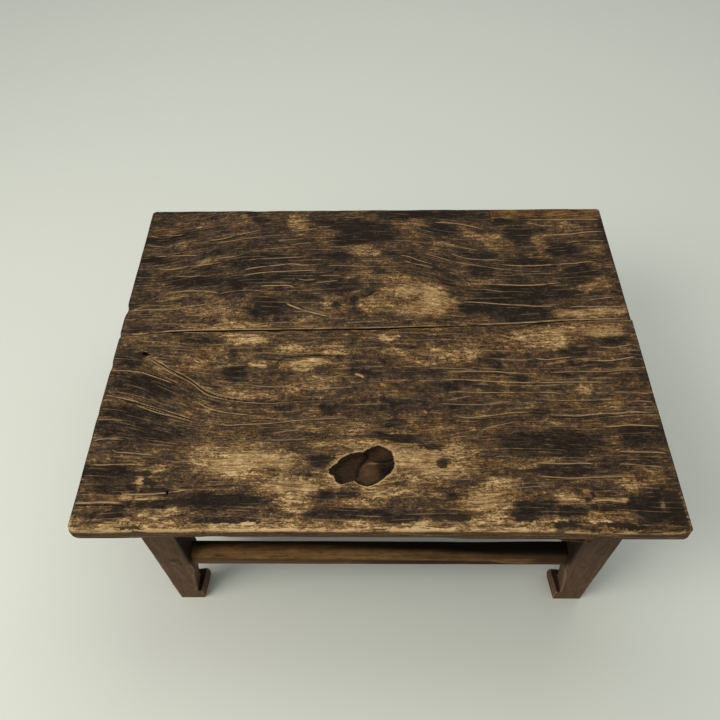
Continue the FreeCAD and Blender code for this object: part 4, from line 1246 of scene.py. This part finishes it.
# How far a tenon laps into its stretcher, and stays inside the leg's outer face
TENON_LAP = 0.3
long_start, long_end = LEG_LEFT + LEG_WIDTH["left"], LEG_RIGHT - LEG_WIDTH["right"]
for number, (end, sign, face) in enumerate((("front", 1, LEG_FRONT), ("back", -1, LEG_BACK))):
    middle_y = face + sign * (RAIL_SETBACK + RAIL_WIDTH / 2)

    def place_long(p, sign=sign, middle_y=middle_y):
        return np.stack([p[:, 0], middle_y + sign * p[:, 1], RAIL_MIDDLE + p[:, 2]], -1)

    spans = ((LEG_LEFT + STUB_STOP, long_start + TENON_LAP), (long_end - TENON_LAP, LEG_RIGHT - STUB_STOP))
    stubs = [((a, -STUB_HALF, TENON_FOOT), (b, STUB_HALF, STUB_HEAD)) for a, b in spans]
    rail_mesh("stretcher_" + end, long_start + 0.15, long_end - 0.15, place_long, 310 + 20 * number, stubs,
              painted_shade=0.98 if end == "front" else 0.5)

side_start, side_end = LEG_FRONT + LEG_DEPTH, LEG_BACK - LEG_DEPTH
for number, (side, sign, face) in enumerate((("left", 1, LEG_LEFT), ("right", -1, LEG_RIGHT))):
    middle_x = face + sign * LEG_WIDTH[side] * SIDE_RAIL_SHARE

    def place_side(p, sign=sign, middle_x=middle_x):
        return np.stack([middle_x + sign * p[:, 1], p[:, 0], RAIL_MIDDLE + p[:, 2]], -1)

    spans = ((side_start - HOUSED, side_start + TENON_LAP, TENON_FOOT),
             (side_end - TENON_LAP, side_end + HOUSED, TENON_FOOT),
             (LEG_FRONT + TENON_LAP, side_start - HOUSED + 0.1, THROUGH_FOOT),
             (side_end + HOUSED - 0.1, LEG_BACK - TENON_LAP, THROUGH_FOOT))
    tenons = [((a, -THROUGH_HALF, foot), (b, THROUGH_HALF, TENON_HEAD)) for a, b, foot in spans]
    rail_mesh("stretcher_" + side, side_start + 0.15, side_end - 0.15, place_side, 360 + 20 * number, tenons,
              sag=1.2, groove=0.8)


# Materials

class Graph:
    """A node tree that is put together step by step."""

    def __init__(self, tree):
        self.tree = tree
        tree.nodes.clear()

    def put(self, socket, value):
        if isinstance(value, bpy.types.NodeSocket):
            self.tree.links.new(value, socket)
        else:
            socket.default_value = value

    def node(self, kind, inputs, **settings):
        """The outputs of a new node, with its settings made and its inputs set or linked."""
        node = self.tree.nodes.new(kind)
        for key, value in settings.items():
            setattr(node, key, value)
        for key, value in inputs.items():
            self.put(node.inputs[key], value)
        return node.outputs

    def math(self, operation, a, b=0.0):
        return self.node("ShaderNodeMath", {0: a, 1: b}, operation=operation)[0]


class Surface(Graph):
    """A material."""

    def __init__(self, name):
        self.material = bpy.data.materials.new(name)
        self.material.use_nodes = True
        super().__init__(self.material.node_tree)
        self.shader = self.tree.nodes.new("ShaderNodeBsdfPrincipled")
        self.node("ShaderNodeOutputMaterial", {0: self.shader.outputs[0]})

    def plus(self, a, b):
        return self.math("ADD", a, b)

    def minus(self, a, b):
        return self.math("SUBTRACT", a, b)

    def times(self, a, b):
        return self.math("MULTIPLY", a, b)

    def off(self, value, middle):
        """How far a value is from a middle, either way."""
        return self.math("ABSOLUTE", self.minus(value, middle))

    def rise(self, value, low, high, to_low=0.0, to_high=1.0):
        """Goes smoothly from to_low to to_high between low and high."""
        inputs = dict(enumerate((value, low, high, to_low, to_high)))
        return self.node("ShaderNodeMapRange", inputs, interpolation_type="SMOOTHSTEP")[0]

    def mix(self, factor, a, b, blend="MIX"):
        return self.node("ShaderNodeMix", {0: factor, 6: a, 7: b}, data_type="RGBA", blend_type=blend)[2]

    def tint(self, factor, a, b):
        """Multiplies a colour by another, as far as factor says."""
        return self.mix(factor, a, b, "MULTIPLY")

    def lay(self, share, most, under, over):
        """Lays a colour over another, at most as far as most says."""
        return self.mix(self.times(share, most), under, over)

    def vector(self, operation, a, b):
        return self.node("ShaderNodeVectorMath", {0: a, 1: b}, operation=operation)[0]

    def noise(self, vector, sizes, detail, roughness, shift=0.0):
        """Noise from 0 to 1 with features of the given sizes in the vector's own units."""
        scaled = self.vector("MULTIPLY", vector, tuple(1.0 / s for s in sizes))
        if shift:
            scaled = self.vector("ADD", scaled, (shift, shift * 1.7, shift * 0.6))
        inputs = {"Vector": scaled, "Scale": 1.0, "Detail": detail, "Roughness": roughness}
        return self.node("ShaderNodeTexNoise", inputs)[0]

    def patches(self, vector, sizes, roughness, shift, *steps):
        """Noise taken between two levels, so that it leaves patches."""
        return self.rise(self.noise(vector, sizes, 2, roughness, shift), *steps)

    def attribute(self, name):
        return self.node("ShaderNodeAttribute", {}, attribute_name=name)["Vector"]

    def split(self, vector):
        return self.node("ShaderNodeSeparateXYZ", {0: vector})

    def parts(self, name):
        return self.split(self.attribute(name))

    def ramp(self, value, stops):
        """Colours, given from 0 to 255, for places on the way from 0 to 1."""
        node = self.tree.nodes.new("ShaderNodeValToRGB")
        self.put(node.inputs[0], value)
        elements = node.color_ramp.elements
        while len(elements) < len(stops):
            elements.new(0.5)
        for element, (position, *colour) in zip(elements, stops):
            element.position, element.color = position, srgb(*colour)
        return node.outputs[0]

    def bump(self, height, distance, strength):
        return self.node("ShaderNodeBump", {"Strength": strength, "Distance": distance, "Height": height})[0]

    def total(self, *terms):
        """Sum of (socket, weight) terms, each taken about 0.5."""
        result = None
        for socket, weight in terms:
            centred = self.times(self.minus(socket, 0.5), weight)
            result = centred if result is None else self.plus(result, centred)
        return result

    def finish(self, colour, roughness, normal=None):
        """Ends a material; with a normal it is old wood, which hardly shines."""
        self.put(self.shader.inputs["Base Color"], colour)
        self.put(self.shader.inputs["Roughness"], roughness)
        if normal is not None:
            self.put(self.shader.inputs["Normal"], normal)
            self.shader.inputs["Specular IOR Level"].default_value = 0.05
        return self.material


def top_material(name, patch=False):
    s = Surface(name)
    flow, place = s.attribute("flow"), s.attribute("place")
    wear, ridge_b, crack_b = s.parts("tone")
    ridge_d, crack_d, seam_d = s.parts("lines")
    edge, in_knot, end_face = s.parts("marks")
    shade, side_face, share = s.parts("hollow")
    broad = s.noise(place, (42, 19, 19), 2, 0.55)
    patchy = s.noise(flow, (20, 9, 9), 2, 0.55, 3.1)
    mottle = s.noise(flow, (9.5, 4.4, 4.4), 2, 0.6, 21.3)
    speck = s.noise(place, (4.4, 2.6, 2.6), 2, 0.6, 7.7)
    streak = s.noise(flow, (34, 2.2, 2.2), 2, 0.6, 1.3)
    fine = s.noise(flow, (13, 1.1, 1.1), 2, 0.5, 5.9)
    cross = s.noise(place, (2.2, 11, 9), 2, 0.55, 9.2)
    grit = s.noise(place, (2.1, 1.5, 1.5), 1, 0.5, 71.0)
    level = s.plus(wear, s.total((broad, 0.55), (patchy, 0.55), (mottle, 0.7), (speck, 0.55), (streak, 0.45),
                                        (fine, 0.3), (cross, 0.15), (grit, 0.3)))

    def shift(change, mask, *share):
        """The level raised or lowered under a mask, by a share that depends on the level itself."""
        return change(level, s.times(mask, s.rise(level, *share)))

    # thin crooked lines where the lacquer crazed and the bare wood checked
    worm = s.noise(place, (7.5, 4.2, 4.2), 2, 0.6, 51.0)
    light_line = s.rise(s.off(worm, 0.47), 0.03, 0.006)
    dark_line = s.rise(s.off(worm, 0.56), 0.03, 0.006)
    level = shift(s.plus, light_line, 0.75, 0.45, 0.0, 0.13)
    level = shift(s.minus, dark_line, 0.3, 0.6, 0.05, 0.30)
    # flakes of lacquer that stayed, and flakes that came off
    stayed = s.patches(flow, (8, 3.6, 3.6), 0.65, 31.0, 0.40, 0.33)
    gone = s.patches(flow, (7, 3.2, 3.2), 0.65, 37.0, 0.62, 0.69)
    level = s.minus(level, s.times(stayed, 0.20))
    level = s.plus(level, s.times(gone, 0.17))
    bare_d, kept_d, _ = s.parts("flakes")
    ragged = s.total((mottle, 7.0), (speck, 6.0))
    bare = s.rise(s.plus(bare_d, ragged), 0.9, -0.7)
    kept = s.rise(s.plus(kept_d, ragged), 0.7, -0.9)
    level = shift(s.plus, bare, 0.85, 0.35, 0.0, 0.24)
    level = shift(s.minus, kept, 0.12, 0.7, 0.0, 0.42)
    check = s.patches(flow, (17, 1.7, 1.7), 0.6, 61.0, 0.43, 0.36)
    level = shift(s.minus, check, 0.5, 0.8, 0.0, 0.32)
    stain = s.patches(flow, (38, 5.5, 5.5), 0.55, 83.0, 0.47, 0.36)
    level = shift(s.minus, stain, 0.5, 0.8, 0.0, 0.15)
    arris = s.patches(place, (30, 30, 9), 0.5, 2.2, 0.35, 0.6, 0.05, 0.5)
    level = s.plus(level, s.times(edge, arris))
    colour = s.ramp(level, ((0.0, 25, 15, 8), (0.18, 35, 27, 19), (0.33, 53, 42, 31),
                            (0.46, 72, 54, 36), (0.59, 102, 78, 49), (0.695, 132, 105, 67),
                            (0.80, 157, 129, 87), (0.92, 180, 152, 107)))
    # painted reflection: darker places take a cool cast, more towards the left; stained wood shows warm at
    # middle tones, more towards the right
    place_x, flow_y = s.split(place)[0], s.split(flow)[1]
    hue = s.plus(s.noise(flow, (36, 15, 15), 3, 0.6, 6.4), s.rise(place_x, -250, 150, -0.05, 0.04))
    middle_tone = s.times(s.rise(level, 0.15, 0.36), s.rise(level, 0.80, 0.55))
    dark_tone = s.rise(level, 0.55, 0.25)
    colour = s.tint(s.times(s.rise(hue, 0.46, 0.60), middle_tone), colour, (1.05, 0.97, 0.82, 1))
    colour = s.tint(s.times(s.rise(hue, 0.50, 0.38), dark_tone), colour, (0.93, 0.99, 1.08, 1))
    # ridges of hard growth, rubbed light, each with a painted shade line along its front
    wobble = s.total((s.noise(flow, (12, 4, 4), 2, 0.6, 4.4), 0.9))
    signed = s.plus(ridge_d, wobble)
    broken = s.patches(flow, (22, 7, 7), 0.5, 8.8, 0.32, 0.5, 0.3, 1.0)
    ridge = s.times(s.times(s.rise(s.math("ABSOLUTE", signed), 1.15, 0.4), ridge_b), broken)
    growth = s.plus(s.times(flow_y, 1 / 6.3),
                    s.times(s.noise(flow, (190, 40, 40), 2, 0.4, 12.5), 4.0))
    growth = s.off(s.math("FRACT", growth), 0.5)
    shown = s.times(s.patches(flow, (44, 6, 6), 0.5, 16.5, 0.49, 0.62), s.rise(level, 0.8, 0.5))
    faint = s.times(s.times(s.rise(growth, 0.13, 0.04), shown), s.rise(level, 0.2, 0.42, 0.28, 0.55))
    ridge = s.math("MAXIMUM", ridge, faint)
    grooved = s.patches(flow, (30, 6, 6), 0.5, 41.5, 0.49, 0.62)
    groove = s.times(s.times(s.rise(growth, 0.36, 0.45), grooved), 0.5)
    # painted shade: a dark line beside the front of each ridge
    ridge_shade = s.times(s.rise(s.math("ABSOLUTE", s.plus(signed, 1.9)), 1.1, 0.3), ridge_b)
    groove = s.math("MAXIMUM", groove, s.times(ridge_shade, 0.65))
    colour = s.mix(groove, colour, srgb(30, 22, 16))
    colour = s.lay(ridge, 0.92, colour, srgb(154, 126, 87))
    crack = s.math("ABSOLUTE", s.plus(crack_d, s.times(wobble, 0.5)))
    crack = s.times(s.rise(crack, 1.0, 0.35), crack_b)
    lip = s.rise(s.off(seam_d, 1.5), 1.5, 0.3)
    lip = s.times(lip, s.patches(place, (26, 5, 5), 0.5, 3.9, 0.44, 0.60))
    colour = s.lay(lip, 0.7, colour, srgb(152, 124, 82))
    open_part = s.times(s.rise(place_x, -340, -280), s.rise(place_x, 170, 90))
    dark_joint = s.rise(s.math("DIVIDE", seam_d, s.rise(open_part, 0, 1, 0.7, 1.5)), 1.0, 0.35)
    colour = s.lay(dark_joint, 0.95, colour, srgb(18, 12, 8))
    colour = s.mix(crack, colour, srgb(26, 18, 12))
    if patch:
        gold = s.ramp(s.plus(0.5, s.total((streak, 1.5), (patchy, 0.9), (speck, 0.8), (broad, 0.8))),
                      ((0.12, 32, 20, 11), (0.38, 64, 43, 23), (0.62, 98, 69, 36), (0.95, 136, 102, 58)))
        colour = s.mix(s.rise(seam_d, 0.6, 1.4, 0.0, 0.9), colour, gold)
    # the knot hollow, with its painted light and shade
    ripple = s.noise(place, (11, 2.0, 3), 3, 0.6, 14.0)
    inside = s.ramp(s.plus(shade, s.total((ripple, 0.42), (speck, 0.2))),
                    ((0.05, 18, 12, 8), (0.36, 42, 29, 18), (0.62, 68, 49, 29), (0.95, 122, 94, 60)))
    colour = s.mix(in_knot, colour, inside)
    rim = s.rise(s.off(share, 1.055), 0.06, 0.015)
    rim = s.times(rim, s.times(s.rise(in_knot, 0.6, 0.2), s.rise(patchy, 0.30, 0.55, 0.2, 1.0)))
    colour = s.lay(rim, 0.7, colour, srgb(166, 138, 94))
    sides = s.ramp(s.plus(0.5, s.total((s.noise(place, (46, 30, 2.4), 3, 0.65, 8.1), 1.9), (speck, 0.9))),
                   ((0.12, 36, 25, 18), (0.42, 68, 48, 33), (0.7, 100, 73, 49), (0.95, 146, 113, 77)))
    colour = s.lay(side_face, 0.92, colour, sides)
    ends = s.ramp(s.noise(place, (8, 3, 1.6), 3, 0.6, 2.9),
                  ((0.3, 34, 25, 18), (0.55, 66, 49, 33), (0.8, 104, 80, 54)))
    colour = s.lay(end_face, 0.8, colour, ends)
    height = s.total((streak, 0.9), (fine, 0.5), (patchy, 0.5), (speck, 0.45), (cross, 0.25))
    height = s.minus(height, s.times(s.rise(level, 0.42, 0.62), 0.45))
    height = s.minus(height, s.times(groove, 0.5))
    height = s.plus(height, s.times(ridge, 0.5))
    height = s.minus(height, s.times(crack, 1.2))
    rough = s.rise(level, 0.2, 0.7, 0.40, 0.62)
    rough = s.plus(rough, s.total((speck, 0.12), (streak, 0.12)))
    return s.finish(colour, rough, s.bump(height, 0.0009, 0.8))


def plain_wood(name, dark, middle, light, worn=None, rough=0.55, scale=1.0):
    """Old dull wood with streaks; where the stored fields say so, a worn colour shows at its arrises, with
    painted shade and dark lines laid over it.
    """
    s = Surface(name)
    if worn:
        flow = s.attribute("flow")
        edge, under, groove = s.parts("tone")
    else:
        flow = s.vector("MULTIPLY", s.node("ShaderNodeTexCoord", {})["Object"], (1000.0, 1000.0, 1000.0))
    streak = s.noise(flow, (60 * scale, 2.2, 2.2), 3, 0.6, 1.3)
    fine = s.noise(flow, (22 * scale, 0.8, 0.8), 2, 0.5, 5.9)
    patchy = s.noise(flow, (22, 9, 9), 3, 0.6, 3.1)
    speck = s.noise(flow, (3, 1.8, 1.8), 2, 0.6, 7.7)
    level = s.plus(0.5, s.total((streak, 0.7), (fine, 0.3), (patchy, 0.75), (speck, 0.3)))
    colour = s.ramp(level, ((0.15, *dark), (0.5, *middle), (0.85, *light)))
    if worn:
        scuff = s.rise(s.plus(edge, s.total((patchy, 0.7), (speck, 0.6))), 0.55, 0.95)
        colour = s.lay(scuff, 0.8, colour, srgb(*worn))
        # painted shade: under the top, on the legs' inner faces and upper parts
        colour = s.lay(under, 0.85, colour, srgb(22, 16, 11))
        # painted shadow on the legs' toe ledges, with the dark lines of the tenon marks and the stretchers'
        # groove
        colour = s.lay(groove, 0.9, colour, srgb(18, 12, 8))
    height = s.total((streak, 0.8), (fine, 0.4), (patchy, 0.6), (speck, 0.4))
    roughness = s.plus(rough, s.total((speck, 0.15), (patchy, 0.15)))
    return s, colour, roughness, s.bump(height, 0.0007, 0.7)


def paint(names, material):
    """Gives pieces one material, in place of any that they have."""
    for name in names:
        piece = bpy.data.objects[name]
        if piece.data.materials:
            for slot in piece.material_slots:
                slot.material = material
        else:
            piece.data.materials.append(material)


worn_top = top_material("worn_top")
paint(["top_plank_front_worn", "top_plank_back_worn"], worn_top)
paint(["corner_patch_worn"], top_material("patch_wood_worn", True))

s, *look = plain_wood("leg_wood_worn", (50, 36, 26), (86, 64, 46), (112, 86, 63), (122, 97, 72))
paint(["leg_%s_%s_worn" % corner for corner in CORNERS], s.finish(*look))
for leg in legs:
    leg.data.materials.append(worn_top)
    for polygon in leg.data.polygons:
        polygon.material_index = int(polygon.center.z > (TOP - 2.6) * MM)

s, colour, *look = plain_wood("stretcher_wood_worn", (58, 39, 21), (104, 77, 44), (134, 104, 62),
                              (134, 106, 66), rough=0.5)
tenon_end, upper, strip = s.parts("marks")
low, right_shade, _ = s.parts("turned")
# painted shade over the lower front and the right end
colour = s.mix(low, colour, srgb(44, 30, 18))
colour = s.lay(strip, 0.8, colour, srgb(86, 66, 50))
colour = s.lay(right_shade, 0.9, colour, srgb(44, 31, 20))
# painted shadow of the top, near black over the upper face
colour = s.mix(upper, colour, srgb(14, 9, 6))
grainy = s.noise(s.attribute("flow"), (9, 3, 3), 3, 0.6, 4.2)
colour = s.mix(tenon_end, colour, s.ramp(grainy, ((0.25, 62, 46, 33), (0.75, 100, 78, 57))))
paint(["stretcher_%s_worn" % d for d in ("front", "back", "left", "right")], s.finish(colour, *look))

paint(["wedge_%s_%s_worn" % corner for corner in CORNERS], worn_top)

s, *look = plain_wood("batten_wood_old", (52, 38, 26), (92, 70, 48), (122, 96, 66), rough=0.65)
paint(["batten_left", "batten_right"], s.finish(*look))

s, *look = plain_wood("pin_wood_old", (96, 76, 48), (140, 112, 72), (166, 138, 96), rough=0.6, scale=0.5)
paint(["seam_pins"], s.finish(*look))


# Floor, lamps and camera

FLOOR_REACH = 14.0
floor_mesh = bpy.data.meshes.new("floor")
corners = [(x * FLOOR_REACH, y * FLOOR_REACH, 0.0) for x, y in ((-1, -1), (1, -1), (1, 1), (-1, 1))]
floor_mesh.from_pydata(corners, [], [(0, 1, 2, 3)])
floor = bpy.data.objects.new("floor", floor_mesh)
bpy.context.scene.collection.objects.link(floor)
floor_mesh.materials.append(Surface("pale_floor").finish(srgb(196, 198, 186), 0.9))

scene = bpy.context.scene
scene.view_settings.view_transform = "Standard"
world = bpy.data.worlds.new("studio")
scene.world = world
world.use_nodes = True
graph = Graph(world.node_tree)
light_path = graph.node("ShaderNodeLightPath", {})
seen = light_path["Is Camera Ray"]
for ray in ("Is Transmission Ray", "Is Glossy Ray"):
    seen = graph.math("MAXIMUM", seen, light_path[ray])
fill = graph.node("ShaderNodeBackground", {0: (0.93, 0.96, 1.0, 1), 1: 0.55})[0]
wall = graph.node("ShaderNodeBackground", {0: (0.62, 0.63, 0.58, 1), 1: 1.0})[0]
# what is seen, also through or mirrored in something, is the wall; all else is lit by the fill
graph.node("ShaderNodeOutputWorld", {0: graph.node("ShaderNodeMixShader", {0: seen, 1: fill, 2: wall})[0]})


def lamp(name, place, aim, size, power, colour):
    """A rectangular lamp that looks at a place."""
    data = bpy.data.lights.new(name, "AREA")
    data.shape, data.size, data.size_y = "RECTANGLE", size[0], size[1]
    data.energy, data.color = power, colour
    piece = bpy.data.objects.new(name, data)
    piece.location = place
    piece.rotation_euler = (Vector(aim) - Vector(place)).to_track_quat("-Z", "Y").to_euler()
    scene.collection.objects.link(piece)


lamp("key_lamp", (-1.5, -0.9, 2.1), (0, 0, 0.3), (1.3, 1.3), 45, (1.0, 0.97, 0.92))
lamp("top_lamp", (0.3, 0.9, 2.6), (0, 0, 0.3), (2.2, 1.6), 25, (0.97, 1.0, 0.98))


def camera_matrix(place, yaw, pitch, roll):
    """Where the camera stands and how it is turned, with angles in radians."""
    forward = Vector((math.sin(yaw) * math.cos(pitch), math.cos(yaw) * math.cos(pitch), -math.sin(pitch)))
    right_0 = Vector((math.cos(yaw), -math.sin(yaw), 0))
    up_0 = right_0.cross(forward)
    right = math.cos(roll) * right_0 + math.sin(roll) * up_0
    up = -math.sin(roll) * right_0 + math.cos(roll) * up_0
    turn = Matrix((right, up, -forward)).transposed().to_4x4()
    return Matrix.Translation(place) @ turn


camera_data = bpy.data.cameras.new("camera")
camera_data.sensor_width, camera_data.lens = 36.0, 35.0
camera = bpy.data.objects.new("camera", camera_data)
camera.matrix_world = camera_matrix((-0.005374, -0.660802, 1.170600),
                                    -0.0305701243, 0.9305460587, -0.0271181722)
scene.collection.objects.link(camera)
scene.camera = camera
